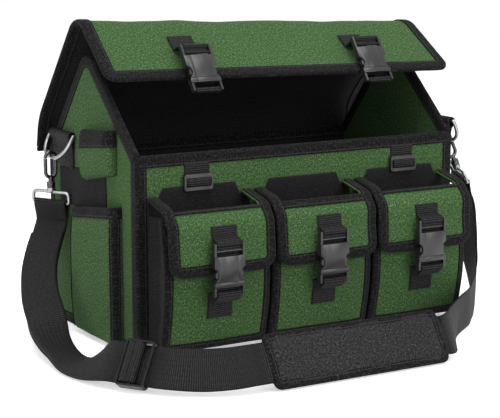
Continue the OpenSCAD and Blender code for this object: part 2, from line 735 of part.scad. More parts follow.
// Ladder locks on the closure straps.
lock_h = 20;
lock_t = 5;
lock_z = front_h - 34;
module ladder_lock() {
    difference() {
        rounded_plate(web_w + 2 * rail_w, lock_h, rail_w, lock_t);
        for (side = [-1, 1]) translate([0, side * lock_h / 5, 0]) cube([web_w, bar_t, 2 * lock_t], center = true);
    }
}
module ladder_locks() {
    color(PLASTIC) for (side = [-1, 1])
        translate([side * front_strap_x, -half_d - web_t - seat_gap - lock_t / 2, lock_z]) rotate([90, 0, 0]) ladder_lock();
}

// Side pockets, drawn on the left end: a bulging front with closed sides and an open top.
side_right_y = 30;    // the right pocket lies further back, clear of the right ring's strap
side_low_z = 2;
side_lead = 6;
side_wall_x = -half_l - tape_t;
side_path = round_path([[side_wall_x, side_low_z], [-half_l - side_bulge + side_lead, side_low_z],
                        [-half_l - side_bulge, side_h / 2], [-half_l - side_bulge + side_lead, side_h]],
                       [0, side_bulge / 3, side_h, 0]);
pouch_path = round_path([[-half_l, pouch_z], [-half_l - pouch_bulge, pouch_z],
                         [-half_l - pouch_bulge + side_t, pouch_z + pouch_h]],
                        [0, pouch_bulge / 2, 0]);

// Stands an outline drawn in X and height upright, and runs it along Y.
module along_y(y0, y1, outline) {
    translate([0, y1, 0]) rotate([90, 0, 0]) linear_extrude(y1 - y0) polygon(outline);
}
// A pocket on an end panel: its canvas runs out from the panel and up, between two side walls.
module side_shell(path, y, w) {
    top = [path[0].x, path[len(path) - 1].y];
    along_y(y - w / 2, y + w / 2, band(path, 0, -side_t));
    for (side = [-1, 1])
        along_y(y + side * (w - side_t) / 2 - side_t / 2, y + side * (w - side_t) / 2 + side_t / 2,
                concat(path, [top]));
}
module side_pockets() {
    color(CANVAS) {
        side_shell(side_path, side_y, side_w);
        mirror([1, 0, 0]) side_shell(side_path, side_right_y, side_w);
        side_shell(pouch_path, pouch_y, pouch_w);
    }
}
// Tape over the pockets' mouths.
module mouth_tape(path, y, w) {
    last = len(path) - 1;
    top = [path[last - 1], path[last]];
    rise = unit(path[last] - path[last - 1]);
    edge = [path[last] - tape_w * rise, path[last]];
    along_y(y - w / 2, y + w / 2, band(edge, 0, tape_t));
}
// A dark patch on the left end panel, between the lower pocket's mouth and the ring's tab.
patch_y = [-46, 90];
patch_z = [160, 203];
module end_patch() {
    block([-half_l - tape_t, patch_y[0], patch_z[0]], [-half_l, patch_y[1], patch_z[1]]);
}
module side_pocket_trim() {
    color(TAPE) {
        end_patch();
        mouth_tape(side_path, side_y, side_w);
        mirror([1, 0, 0]) mouth_tape(side_path, side_right_y, side_w);
        mouth_tape(pouch_path, pouch_y, pouch_w);
    }
}

// Rings and hooks, drawn for the left end; the right end is their mirror image.
ring_fall = ring_leg + ring_r;
ring_low = [ring_x - ring_fall * sin(ring_lean), ring_z - ring_fall * cos(ring_lean)];
hook_play = 0.4;
bend_in = hook_r - hook_wire_r;
hook_top = [ring_low.x, ring_low.y + ring_wire_r + hook_play - bend_in];
gate_play = 0.8;      // above the gate, which tips inwards
gate_seat = 0.2;      // below the gate
shank_r = 3.2;
shank_l = 6;
collar_r = 5.5;
collar_h = 6;
stem_r = 2;
shank_z = hook_top.y - hook_side - hook_r - shank_l;
post_h = 6;
post_gap = 0.5;
eye_top_z = shank_z - collar_h - post_gap - post_h;
eye_low_z = eye_top_z - eye_h;
eye_sleeve_in = eye_wire_r + part_gap;
eye_sleeve_r = eye_sleeve_in + strap_t;
strap_join_z = eye_low_z - 12;

left_hook_y = left_ring_y + hook_off;
module hung_left() { translate([0, left_hook_y, 0]) children(); }
// The right hook is the left one's mirror image, turned outwards about the ring's lowest wire.
module hung_right() {
    translate([0, right_ring_y, right_ring_rise]) mirror([1, 0, 0]) translate([ring_low.x, 0, ring_low.y])
        rotate([0, hook_out, 0]) translate([-ring_low.x, 0, -ring_low.y]) children();
}
function spot_right(x, z) =
    [-ring_low.x - (x - ring_low.x) * cos(hook_out) - (z - ring_low.y) * sin(hook_out), right_ring_y,
     ring_low.y + right_ring_rise - (x - ring_low.x) * sin(hook_out) + (z - ring_low.y) * cos(hook_out)];
module d_ring() {
    color(NICKEL) translate([ring_x, 0, ring_z]) rotate([0, ring_lean, 0]) {
        bend_y = ring_half - ring_r;
        wire([0, -ring_half, 0], [0, ring_half, 0], ring_wire_r);
        wire([0, -bend_y, -ring_leg - ring_r], [0, bend_y, -ring_leg - ring_r], ring_wire_r);
        for (side = [0, 1]) mirror([0, side, 0]) {
            wire([0, ring_half, 0], [0, ring_half, -ring_leg], ring_wire_r);
            translate([0, bend_y, -ring_leg]) rotate([0, 90, 0])
                rotate_extrude(angle = 90) translate([ring_r, 0]) circle(r = ring_wire_r);
        }
    }
}
// The hook's own frame: X away from the end panel, Z up, the upper bend's centre at the origin.
module in_hook() { translate([hook_top.x, 0, hook_top.y]) mirror([1, 0, 0]) children(); }
module hook_bend(from) {
    rotate([90, 0, 0]) rotate([0, 0, from]) rotate_extrude(angle = 180) translate([hook_r, 0]) circle(r = hook_wire_r);
}
module snap_hook() {
    color(NICKEL) {
        in_hook() {
            hook_bend(0);
            translate([0, 0, -hook_side]) hook_bend(180);
            translate([-hook_r, 0, -hook_side]) cylinder(r = hook_wire_r, h = hook_side);
        }
        translate([hook_top.x, 0, 0]) difference() {
            union() {
                translate([0, 0, shank_z]) cylinder(r = shank_r, h = shank_l + hook_wire_r / 2);
                translate([0, 0, shank_z - collar_h]) cylinder(r = collar_r, h = collar_h);
            }
            translate([0, 0, shank_z - collar_h - overrun])
                cylinder(r = stem_r + seat_gap, h = collar_h + overrun);
        }
    }
}
module gate() {
    color(NICKEL) in_hook() translate([hook_r, 0, -hook_side + gate_seat])
        cylinder(r = hook_wire_r, h = hook_side - gate_seat - gate_play);
}
module strap_eye(turn) {
    half = eye_w / 2 + eye_wire_r;
    color(NICKEL) translate([hook_top.x, 0, 0]) {
        translate([0, 0, eye_top_z]) cylinder(r = collar_r, h = post_h);
        translate([0, 0, eye_top_z + post_h]) cylinder(r = stem_r, h = collar_h - seat_gap);
        rotate([0, 0, -turn]) {
            wire([-half, 0, eye_top_z], [half, 0, eye_top_z], eye_wire_r);
            wire([-half, 0, eye_low_z], [half, 0, eye_low_z], eye_wire_r);
            for (side = [-1, 1]) wire([side * half, 0, eye_low_z], [side * half, 0, eye_top_z], eye_wire_r);
        }
    }
}
module strap_end(turn) {
    color(WEBBING) translate([hook_top.x, 0, 0]) rotate([0, 0, -turn]) {
        translate([0, 0, eye_low_z]) rotate([0, 90, 0]) difference() {
            cylinder(r = eye_sleeve_r, h = strap_w, center = true);
            cylinder(r = eye_sleeve_in, h = strap_w + 2 * overrun, center = true);
        }
        block([-strap_w / 2, -strap_t / 2, strap_join_z], [strap_w / 2, strap_t / 2, eye_low_z - eye_sleeve_in - strap_t / 2]);
    }
}
module left_d_ring() { translate([0, left_ring_y, 0]) d_ring(); }
module left_snap_hook() { hung_left() snap_hook(); }
module left_gate() { hung_left() gate(); }
module left_strap_eye() { hung_left() strap_eye(left_eye_turn); }
module left_strap_end() { hung_left() strap_end(left_eye_turn); }
module right_d_ring() { translate([0, right_ring_y, right_ring_rise]) mirror([1, 0, 0]) d_ring(); }
module right_snap_hook() { hung_right() snap_hook(); }
module right_gate() { hung_right() gate(); }
module right_strap_eye() { hung_right() strap_eye(right_eye_turn); }
module right_strap_end() { hung_right() strap_end(right_eye_turn); }

// Shoulder strap: a flat ribbon through hand-chosen points. It hangs from the left eye,
// turns onto its edge, stands on the floor around the front, and rises to the right eye.
join_gap = 1;         // between the sewn end at the eye and the strap that carries on from it
floor_gap = 0.5;
pad_z = pad_w / 2 * cos(pad_lean) + pad_t / 2 * sin(pad_lean) + floor_gap;
left_eye = [hook_top.x, left_hook_y, strap_join_z - join_gap];
right_eye = spot_right(hook_top.x, strap_join_z - join_gap);
straight_in = 12;     // length over which the strap runs straight from each eye
upright = [0, 0, 1];
leaning = [0, sin(pad_lean), cos(pad_lean)];
left_across = [cos(left_eye_turn), -sin(left_eye_turn), 0];
right_across = [-cos(right_eye_turn) * cos(hook_out), -sin(right_eye_turn), -cos(right_eye_turn) * sin(hook_out)];
slider_first = [-302, -231, 28];
slider_last = [-282, -261, 28];
slider_way = unit(slider_last - slider_first);
slider_across = [-slider_way.y * sin(slider_lean), slider_way.x * sin(slider_lean), cos(slider_lean)];
// Each row: a point on the ribbon's middle, and the direction across the ribbon there.
strap_route = [
    [left_eye, left_across],
    [left_eye - [0, 0, straight_in], left_across],
    [left_eye + [-7.6, -7, -25.5], [0.52, -0.84, 0.03]],
    [left_eye + [-20.6, -20, -44.5], [0.56, -0.78, 0.08]],
    [left_eye + [-34.6, -39, -65.5], [0.56, -0.80, 0.08]],
    [[-295, 15, 56], [0.58, -0.80, 0.05]],
    [[-301, -15, 35], [0.70, -0.70, -0.03]],
    [[-304, -47, 19], [0.86, -0.45, -0.08]],
    [[-306, -81, 10], [0.96, -0.15, -0.08]],
    [[-309, -115, 8], [0.97, 0.10, 0.02]],
    [[-314, -149, 11], [0.90, 0.22, 0.22]],
    [[-317, -182, 19], [0.68, 0.30, 0.62]],
    [[-313, -214.5, 28], slider_across],
    [slider_first, slider_across],
    [slider_last, slider_across],
    [[-271, -277.5, 28], slider_across],
    [[-243, -301, 28], [0.25, 0.36, 0.87]],
    [[-214, -315, 29], [0.08, 0.46, 0.87]],
    [[-186, -319, pad_z], leaning],
    [[-160, -319, pad_z], leaning],
    [[-46, -319, pad_z], leaning],
    [[68, -319, pad_z], leaning],
    [[94, -319, pad_z], leaning],
    [[111, -308, 28], [-0.12, 0.36, 0.92]],
    [[130, -286, 27], [-0.05, 0.15, 0.98]],
    [[152, -260, 26], upright],
    [[177, -233, 26], upright],
    [[202, -207, 26], upright],
    [[224, -184, 26], upright],
    [[244, -163, 27], [-0.03, -0.05, 1]],
    [[259, -146, 31], [-0.12, -0.20, 0.97]],
    [[268, -132, 40], [-0.20, -0.42, 0.85]],
    [[274, -121, 54], [-0.22, -0.66, 0.65]],
    [[278, -111, 71], [-0.20, -0.82, 0.45]],
    [[281, -104, 89], [-0.20, -0.92, 0.25]],
    [right_eye + [4, -8, -53], [-0.22, -0.95, 0.12]],
    [right_eye + [6, -4, -36], [-0.24, -0.96, 0.02]],
    [right_eye + [6.5, -1, -22], [-0.27, -0.95, -0.05]],
    [right_eye + straight_in * [sin(hook_out), 0, -cos(hook_out)], right_across],
    [right_eye, right_across]
];
function along(route, i) =
    let (last = len(route) - 1)
    unit(route[min(i + 1, last)][0] - route[max(i - 1, 0)][0]);
function squared(v, t) = unit(v - t * (v * t));
// Four corners of the ribbon's section at a point, offset along its thickness by lift.
function section(route, i, w, t, lift) =
    let (ahead = along(route, i), across = squared(route[i][1], ahead), thick = cross(ahead, across), p = route[i][0])
    [p + across * w / 2 + thick * (lift + t / 2), p + across * w / 2 + thick * (lift - t / 2),
     p - across * w / 2 + thick * (lift - t / 2), p - across * w / 2 + thick * (lift + t / 2)];
module ribbon(route, w, t, lift) {
    n = len(route);
    points = [for (i = [0:n - 1]) each section(route, i, w, t, lift)];
    // Both faces of the ribbon are split along the same diagonal, so that its thickness holds where it twists.
    sides = [for (i = [0:n - 2], k = [0:3])
        let (a = 4 * i + k, b = 4 * i + (k + 1) % 4)
        each k == 1 ? [[a, b, a + 4], [b, b + 4, a + 4]] : [[a, b, b + 4], [a, b + 4, a + 4]]];
    polyhedron(points, concat(sides, [[0, 3, 2], [0, 2, 1]],
        [[4 * n - 4, 4 * n - 3, 4 * n - 2], [4 * n - 4, 4 * n - 2, 4 * n - 1]]));
}
return_lift = 3;      // how far the returning layer lies from the main one
slider_at = 13;       // the route's point before the slider
module shoulder_strap() {
    color(WEBBING) {
        ribbon(strap_route, strap_w, strap_t, 0);
        ribbon([for (i = [2:slider_at + 1]) strap_route[i]], strap_w, strap_t, return_lift);
    }
}

// Slider: a frame round both layers of the strap, with a middle bar on each face.
slider_mid = (slider_first + slider_last) / 2;
slider_play = 1;
slider_wall = 2.4;
slider_rail = 3.4;
slider_corner_r = 5;
module strap_slider() {
    inner_h = strap_w + 2 * slider_play;
    window = (slider_l - 3 * slider_rail) / 2;
    color(BLACK_METAL) translate(slider_mid) rotate([0, 0, atan2(slider_way.y, slider_way.x)])
        rotate([-slider_lean, 0, 0]) translate([0, -return_lift / 2, 0]) rotate([90, 0, 0]) difference() {
            rounded_plate(slider_l, inner_h + 2 * slider_wall, slider_corner_r, slider_t + 2 * slider_wall);
            cube([slider_l + 2 * overrun, inner_h, slider_t], center = true);
            for (side = [-1, 1]) translate([side * (window + slider_rail) / 2, 0, 0])
                cube([window, inner_h, 2 * big], center = true);
        }
}

// Shoulder pad: a crowned sleeve that the strap runs through.
pad_mid = [-46, -319, pad_z];
pad_slot = 3.4;
module shoulder_pad() {
    edge_t = pad_t / 3;
    color(LINING) translate(pad_mid) rotate([-pad_lean, 0, 0]) rotate([90, 0, 90]) translate([0, 0, -pad_l / 2])
        linear_extrude(pad_l) difference() {
            polygon(round_loop([[-edge_t, -pad_w / 2], [edge_t, -pad_w / 2], [pad_t / 2, 0], [edge_t, pad_w / 2],
                                [-edge_t, pad_w / 2], [-pad_t / 2, 0]],
                               [edge_t / 2, edge_t / 2, pad_w, edge_t / 2, edge_t / 2, pad_w]));
            square([pad_slot, strap_w + pad_slot], center = true);
        }
}

bottom_panel();
base_board();
front_wall();
back_wall();
left_end();
right_end();
rim_bindings();
seam_bindings();
pocket_fronts();
pocket_gussets();
body_webbing();
side_pockets();
side_pocket_trim();
ladder_locks();
lid_back_panel();
lid_back_binding();
lid_front_panel();
lid_front_binding();
lid_straps();
pocket_1_flap();
pocket_2_flap();
pocket_3_flap();
pocket_1_flap_strap();
pocket_2_flap_strap();
pocket_3_flap_strap();
pocket_1_socket();
pocket_2_socket();
pocket_3_socket();
pocket_1_plug();
pocket_2_plug();
pocket_3_plug();
pocket_1_arm_left();
pocket_1_arm_right();
pocket_2_arm_left();
pocket_2_arm_right();
pocket_3_arm_left();
pocket_3_arm_right();
lid_left_socket();
lid_left_plug();
lid_left_arm_left();
lid_left_arm_right();
lid_left_tail();
lid_right_socket();
lid_right_plug();
lid_right_arm_left();
lid_right_arm_right();
lid_right_tail();
left_d_ring();
left_snap_hook();
left_gate();
left_strap_eye();
left_strap_end();
right_d_ring();
right_snap_hook();
right_gate();
right_strap_eye();
right_strap_end();
shoulder_strap();
strap_slider();
shoulder_pad();
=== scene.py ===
# %% [markdown]
# # A canvas tool bag, dressed over its frame
# The bag is a boxy canvas case with a folding tent lid, three buckled front pockets, end pockets and a
# shoulder strap. The frame holds its walls, hinges and hardware at their real places. Nearly everything that
# shows is cloth, so this lesson is mostly about one skill: turning a flat grid into a sewn panel.

# %% Load the frame
import json
import math

import bmesh
import bpy
from mathutils import Matrix, Vector, noise
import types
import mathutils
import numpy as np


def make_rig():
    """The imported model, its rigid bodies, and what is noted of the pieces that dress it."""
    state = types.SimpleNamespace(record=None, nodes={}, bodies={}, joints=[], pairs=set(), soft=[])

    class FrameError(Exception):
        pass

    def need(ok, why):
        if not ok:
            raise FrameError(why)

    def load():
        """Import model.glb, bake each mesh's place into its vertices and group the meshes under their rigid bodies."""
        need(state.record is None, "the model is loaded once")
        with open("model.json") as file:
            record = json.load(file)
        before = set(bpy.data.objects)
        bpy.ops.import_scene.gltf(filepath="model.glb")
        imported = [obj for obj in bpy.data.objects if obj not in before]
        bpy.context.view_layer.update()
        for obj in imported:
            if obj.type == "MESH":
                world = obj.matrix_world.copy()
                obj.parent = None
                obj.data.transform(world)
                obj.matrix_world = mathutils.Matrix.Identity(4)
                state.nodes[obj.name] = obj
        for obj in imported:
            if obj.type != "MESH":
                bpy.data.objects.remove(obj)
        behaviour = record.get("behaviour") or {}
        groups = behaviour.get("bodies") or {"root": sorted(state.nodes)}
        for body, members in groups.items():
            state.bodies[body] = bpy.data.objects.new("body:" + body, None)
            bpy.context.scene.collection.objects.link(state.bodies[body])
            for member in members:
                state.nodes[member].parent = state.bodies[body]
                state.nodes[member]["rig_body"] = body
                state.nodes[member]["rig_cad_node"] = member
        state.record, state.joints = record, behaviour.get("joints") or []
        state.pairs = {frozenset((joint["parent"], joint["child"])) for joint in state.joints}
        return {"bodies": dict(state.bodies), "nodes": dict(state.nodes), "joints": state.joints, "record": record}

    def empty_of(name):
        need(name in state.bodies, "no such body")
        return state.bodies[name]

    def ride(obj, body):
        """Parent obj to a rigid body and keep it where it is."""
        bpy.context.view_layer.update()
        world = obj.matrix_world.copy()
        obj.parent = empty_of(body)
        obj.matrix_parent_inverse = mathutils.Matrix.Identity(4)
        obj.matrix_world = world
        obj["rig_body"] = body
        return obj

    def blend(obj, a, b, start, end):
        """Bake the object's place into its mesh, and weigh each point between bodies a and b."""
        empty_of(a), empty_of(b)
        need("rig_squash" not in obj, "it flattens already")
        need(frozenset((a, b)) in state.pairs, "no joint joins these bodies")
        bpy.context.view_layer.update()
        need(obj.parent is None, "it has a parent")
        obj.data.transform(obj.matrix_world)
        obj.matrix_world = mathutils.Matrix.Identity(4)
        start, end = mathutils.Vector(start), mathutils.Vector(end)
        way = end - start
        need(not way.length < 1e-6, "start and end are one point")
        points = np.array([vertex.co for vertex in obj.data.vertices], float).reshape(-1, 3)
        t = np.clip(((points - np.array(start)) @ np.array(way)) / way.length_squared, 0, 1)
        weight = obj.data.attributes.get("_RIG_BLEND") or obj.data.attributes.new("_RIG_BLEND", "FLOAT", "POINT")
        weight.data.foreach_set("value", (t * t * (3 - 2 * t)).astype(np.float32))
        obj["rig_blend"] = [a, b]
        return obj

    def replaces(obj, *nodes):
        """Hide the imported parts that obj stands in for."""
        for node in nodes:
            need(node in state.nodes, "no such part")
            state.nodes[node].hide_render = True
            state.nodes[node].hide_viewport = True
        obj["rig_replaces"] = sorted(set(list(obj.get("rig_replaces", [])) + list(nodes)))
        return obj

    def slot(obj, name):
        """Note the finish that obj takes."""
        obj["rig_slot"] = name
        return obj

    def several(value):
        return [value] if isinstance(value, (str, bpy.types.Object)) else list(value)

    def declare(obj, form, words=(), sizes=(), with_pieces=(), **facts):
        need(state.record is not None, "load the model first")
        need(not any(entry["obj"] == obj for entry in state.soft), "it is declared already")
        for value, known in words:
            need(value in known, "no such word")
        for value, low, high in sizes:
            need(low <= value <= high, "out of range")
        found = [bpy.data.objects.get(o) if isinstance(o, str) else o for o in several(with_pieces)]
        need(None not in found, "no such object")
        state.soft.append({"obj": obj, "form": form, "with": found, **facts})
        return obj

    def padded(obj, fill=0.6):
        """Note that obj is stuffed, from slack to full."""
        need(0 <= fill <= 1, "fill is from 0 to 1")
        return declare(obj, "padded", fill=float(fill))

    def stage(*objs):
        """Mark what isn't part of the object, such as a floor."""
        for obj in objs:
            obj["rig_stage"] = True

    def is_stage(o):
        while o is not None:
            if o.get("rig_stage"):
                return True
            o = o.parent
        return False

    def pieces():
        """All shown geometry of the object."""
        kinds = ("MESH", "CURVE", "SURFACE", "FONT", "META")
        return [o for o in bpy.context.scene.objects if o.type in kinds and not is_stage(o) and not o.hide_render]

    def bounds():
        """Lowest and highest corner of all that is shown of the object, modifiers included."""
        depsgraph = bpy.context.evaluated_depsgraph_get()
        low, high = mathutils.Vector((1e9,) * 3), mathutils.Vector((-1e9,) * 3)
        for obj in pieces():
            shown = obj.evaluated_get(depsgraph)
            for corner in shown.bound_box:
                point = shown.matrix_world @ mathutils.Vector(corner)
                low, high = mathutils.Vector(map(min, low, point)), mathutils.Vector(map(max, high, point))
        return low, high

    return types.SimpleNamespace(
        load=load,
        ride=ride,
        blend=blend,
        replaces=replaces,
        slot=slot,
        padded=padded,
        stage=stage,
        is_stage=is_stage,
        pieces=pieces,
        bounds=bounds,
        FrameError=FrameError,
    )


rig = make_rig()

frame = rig.load()
cad_box = [list(corner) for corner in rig.bounds()]
nodes = frame["nodes"]
MM = 0.001
print("nodes:", len(nodes), "bodies:", len(frame["bodies"]))

# %% [markdown]
# ## Camera and light
# The photograph was taken with a long lens from the bag's left front corner, a little above it. A long lens
# keeps the bag's edges nearly parallel. The background is pure white, so the world and the floor show white to
# the camera and in reflections, while the lamps light the cloth no more than they would on a table.

# %% Camera
FOCAL_MM, FILM_MM = 118.35, 36
eye = Vector((-1.0814, -1.8330, 0.5221))
ahead = Vector((0.4995, 0.848, -0.177)).normalized()
camera = bpy.data.objects.new("camera", bpy.data.cameras.new("camera"))
bpy.context.scene.collection.objects.link(camera)
camera.data.lens = FOCAL_MM
camera.data.sensor_width = FILM_MM
camera.location = eye
camera.rotation_euler = ahead.to_track_quat("-Z", "Y").to_euler()
bpy.context.scene.camera = camera
bpy.context.scene.view_settings.view_transform = "Standard"
print("camera", tuple(round(c, 3) for c in camera.location))


# %% Lamps and world
def softbox(name, place, target, size, power):
    """A rectangular lamp that faces a target."""
    lamp = bpy.data.lights.new(name, "AREA")
    lamp.shape = "RECTANGLE"
    lamp.size, lamp.size_y = size
    lamp.energy = power
    lamp_object = bpy.data.objects.new(name, lamp)
    bpy.context.scene.collection.objects.link(lamp_object)
    lamp_object.location = place
    lamp_object.rotation_euler = (Vector(target) - Vector(place)).to_track_quat("-Z", "Y").to_euler()
    return lamp_object


softbox("overhead_softbox", (-0.3, -0.5, 1.9), (0, 0, 0.15), (1.8, 1.4), 34)
softbox("front_softbox", (0.5, -2.2, 0.9), (0, 0, 0.15), (1.4, 1.2), 26)
softbox("end_softbox", (-2.0, -0.3, 0.8), (0, 0, 0.15), (1.2, 1.0), 12)


def seen_directly(tree):
    """1 for a ray from the camera, a reflection or a see-through surface, and 0 for light."""
    rays = tree.nodes.new("ShaderNodeLightPath")
    seen = rays.outputs["Is Camera Ray"]
    for name in ("Is Glossy Ray", "Is Transmission Ray"):
        either = tree.nodes.new("ShaderNodeMath")
        either.operation = "MAXIMUM"
        tree.links.new(seen, either.inputs[0])
        tree.links.new(rays.outputs[name], either.inputs[1])
        seen = either.outputs[0]
    return seen


def show_white_to_camera(tree, shader_node, output, white):
    """Mixes a plain white in wherever the camera or a reflection looks."""
    mix = tree.nodes.new("ShaderNodeMixShader")
    tree.links.new(seen_directly(tree), mix.inputs[0])
    tree.links.new(shader_node.outputs[0], mix.inputs[1])
    tree.links.new(white.outputs[0], mix.inputs[2])
    tree.links.new(mix.outputs[0], output.inputs[0])


world = bpy.data.worlds.new("studio")
bpy.context.scene.world = world
world.use_nodes = True
WORLD_LIGHT = 0.42
dim = world.node_tree.nodes["Background"]
dim.inputs["Color"].default_value = (1, 1, 1, 1)
dim.inputs["Strength"].default_value = WORLD_LIGHT
bright = world.node_tree.nodes.new("ShaderNodeBackground")
bright.inputs["Color"].default_value = (1, 1, 1, 1)
show_white_to_camera(world.node_tree, dim, world.node_tree.nodes["World Output"], bright)

# %% Floor
FLOOR_DROP = 0.0004
FLOOR_GLOW = 0.5
floor_mesh = bmesh.new()
bmesh.ops.create_grid(floor_mesh, x_segments=1, y_segments=1, size=4)
floor_data = bpy.data.meshes.new("studio_floor")
floor_mesh.to_mesh(floor_data)
floor_mesh.free()
floor = bpy.data.objects.new("studio_floor", floor_data)
floor.location.z = -FLOOR_DROP
bpy.context.scene.collection.objects.link(floor)
paper = bpy.data.materials.new("floor_paper")
paper.use_nodes = True
paper_tree = paper.node_tree
paper_shader = paper_tree.nodes["Principled BSDF"]
paper_shader.inputs["Base Color"].default_value = (0.97, 0.97, 0.97, 1)
paper_shader.inputs["Roughness"].default_value = 0.7
paper_shader.inputs["Emission Color"].default_value = (1, 1, 1, 1)
lift_to_white = paper_tree.nodes.new("ShaderNodeMath")
lift_to_white.operation = "MULTIPLY"
lift_to_white.inputs[1].default_value = FLOOR_GLOW
paper_tree.links.new(seen_directly(paper_tree), lift_to_white.inputs[0])
paper_tree.links.new(lift_to_white.outputs[0], paper_shader.inputs["Emission Strength"])
floor_data.materials.append(paper)
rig.stage(floor)
print("lamps and floor are in")

# %% [markdown]
# ## Finishes
# Six finishes are cloth: green heathered canvas, black lining, the pad's coarser canvas, the pad's sewing thread,
# binding tape and ribbed webbing; the thread is darker than any cloth, as painted shade of the sewn grooves it
# lies in. Four are hard: moulded plastic, nickel, gunmetal and black metal. A cloth pattern has to follow the
# cloth, so every sewn piece gets a UV map measured in metres, and the cloth materials read it. The hardware reads
# Object coordinates.


# %% A small kit for node materials
class Finish:
    """A Principled material with a few helpers that add nodes and return their outputs."""

    def __init__(self, name, roughness, metallic=0.0, sheen=0.0, specular=0.5):
        self.material = bpy.data.materials.new(name)
        self.material.use_nodes = True
        self.tree = self.material.node_tree
        self.shader = self.tree.nodes["Principled BSDF"]
        self.shader.inputs["Roughness"].default_value = roughness
        self.shader.inputs["Metallic"].default_value = metallic
        self.shader.inputs["Sheen Weight"].default_value = sheen
        self.shader.inputs["Sheen Roughness"].default_value = 0.5
        self.shader.inputs["Specular IOR Level"].default_value = specular

    def coordinates(self, kind, scale):
        source = self.tree.nodes.new("ShaderNodeTexCoord").outputs[kind]
        mapping = self.tree.nodes.new("ShaderNodeMapping")
        mapping.inputs["Scale"].default_value = scale
        self.tree.links.new(source, mapping.inputs["Vector"])
        return mapping.outputs["Vector"]

    def noise(self, vector, scale=1.0, detail=2.0, rough=0.5):
        node = self.tree.nodes.new("ShaderNodeTexNoise")
        node.inputs["Scale"].default_value = scale
        node.inputs["Detail"].default_value = detail
        node.inputs["Roughness"].default_value = rough
        self.tree.links.new(vector, node.inputs["Vector"])
        return node.outputs["Fac"]

    def math(self, operation, first, second=None, third=None, clamp=False):
        node = self.tree.nodes.new("ShaderNodeMath")
        node.operation = operation
        node.use_clamp = clamp
        for socket, value in zip(node.inputs, (first, second, third)):
            if value is None:
                continue
            if isinstance(value, (int, float)):
                socket.default_value = value
            else:
                self.tree.links.new(value, socket)
        return node.outputs[0]

    def span(self, value, low, high, to_low=0.0, to_high=1.0):
        node = self.tree.nodes.new("ShaderNodeMapRange")
        for name, number in (("From Min", low), ("From Max", high), ("To Min", to_low), ("To Max", to_high)):
            node.inputs[name].default_value = number
        self.tree.links.new(value, node.inputs["Value"])
        return node.outputs["Result"]

    def mix(self, share, first, second, blend="MIX"):
        node = self.tree.nodes.new("ShaderNodeMix")
        node.data_type = "RGBA"
        node.blend_type = blend
        for name, value in ((0, share), (6, first), (7, second)):
            socket = node.inputs[name]
            if isinstance(value, (int, float)):
                socket.default_value = value
            elif isinstance(value, tuple):
                socket.default_value = (*value, 1)
            else:
                self.tree.links.new(value, socket)
        return node.outputs[2]

    def colour(self, output):
        self.tree.links.new(output, self.shader.inputs["Base Color"])

    def roughness(self, output):
        self.tree.links.new(output, self.shader.inputs["Roughness"])

    def bump(self, height, distance, strength=1.0):
        node = self.tree.nodes.new("ShaderNodeBump")
        node.inputs["Distance"].default_value = distance
        node.inputs["Strength"].default_value = strength
        self.tree.links.new(height, node.inputs["Height"])
        self.tree.links.new(node.outputs["Normal"], self.shader.inputs["Normal"])


def split_uv(finish):
    """The piece's UV map, in metres: how far along the cloth, and how far across it."""
    node = finish.tree.nodes.new("ShaderNodeSeparateXYZ")
    finish.tree.links.new(finish.coordinates("UV", (1, 1, 1)), node.inputs[0])
    return node.outputs[0], node.outputs[1]


def waves(finish, distance, pitch):
    """A smooth rise and fall from 0 to 1 with the given pitch in metres."""
    turns = finish.math("MULTIPLY", distance, 2 * math.pi / pitch)
    return finish.math("MULTIPLY_ADD", finish.math("SINE", turns), 0.5, 0.5)


# %% [markdown]
# ### Canvas
# Heavy canvas is a plain weave of thick yarns. The yarns are dyed unevenly, so the cloth looks heathered, with
# short pale flecks along both yarn directions. Two noises stretched along the two yarns give the flecks, and the
# product of two sine waves gives the weave's bump.

# %% Canvas, in its outer and inner shades
WEAVE_PITCH = 0.0021
YARN_LONG, YARN_FINE = 300, 640


def grey(value):
    """Black cloth is never quite black, so its shades are written as greys."""
    return (value, value, value)


def canvas_finish(name, dark, mid, pale, fleck):
    """fleck says how much of the pale flecks shows."""
    cloth = Finish(name, 0.92, sheen=0.03, specular=0.1)
    along, across = split_uv(cloth)
    warp = cloth.noise(cloth.coordinates("UV", (YARN_LONG, YARN_FINE, 1)), 1.0, 3.0, 0.75)
    weft = cloth.noise(cloth.coordinates("UV", (YARN_FINE, YARN_LONG, 1)), 1.0, 3.0, 0.75)
    heather = cloth.math("MULTIPLY_ADD", warp, 0.5, cloth.math("MULTIPLY", weft, 0.5))
    body = cloth.mix(cloth.span(heather, 0.43, 0.57), dark, mid)
    specks = cloth.span(cloth.math("MAXIMUM", warp, weft), 0.58, 0.70)
    flecked = cloth.mix(cloth.math("MULTIPLY", specks, fleck), body, pale)
    cloudy = cloth.noise(cloth.coordinates("Object", (9, 9, 9)), 1.0, 2.0)
    cloth.colour(cloth.mix(cloth.span(cloudy, 0.3, 0.7, 0.0, 0.16), flecked, dark))
    weave = cloth.math("MULTIPLY", waves(cloth, along, WEAVE_PITCH), waves(cloth, across, WEAVE_PITCH))
    grain = cloth.noise(cloth.coordinates("UV", (900, 900, 1)), 1.0, 2.0)
    cloth.bump(cloth.math("MULTIPLY_ADD", grain, 0.6, weave), 0.00035, 0.9)
    return cloth.material


canvas = canvas_finish("heathered_canvas", (0.017, 0.048, 0.012), (0.058, 0.118, 0.040),
                       (0.22, 0.31, 0.18), 0.65)
lining = canvas_finish("black_lining", grey(0.006), grey(0.014), grey(0.06), 0.3)
# The pad's thread: its near black is the thread's own dark colour plus painted shade of the sewn grooves.
thread_with_groove_shade = canvas_finish("thread_with_groove_shade", grey(0.001), grey(0.002), grey(0.01), 0.2)
pad_cloth = canvas_finish("pad_canvas", grey(0.008), grey(0.032), grey(0.12), 0.5)
print("canvas, lining and pad cloth")

# %% [markdown]
# ### Binding tape
# Every raw edge is folded into woven tape and stitched down a few millimetres from the tape's edge. The tape's
# UV map counts the distance from its nearer edge, so one line in the material draws the stitches on both sides.

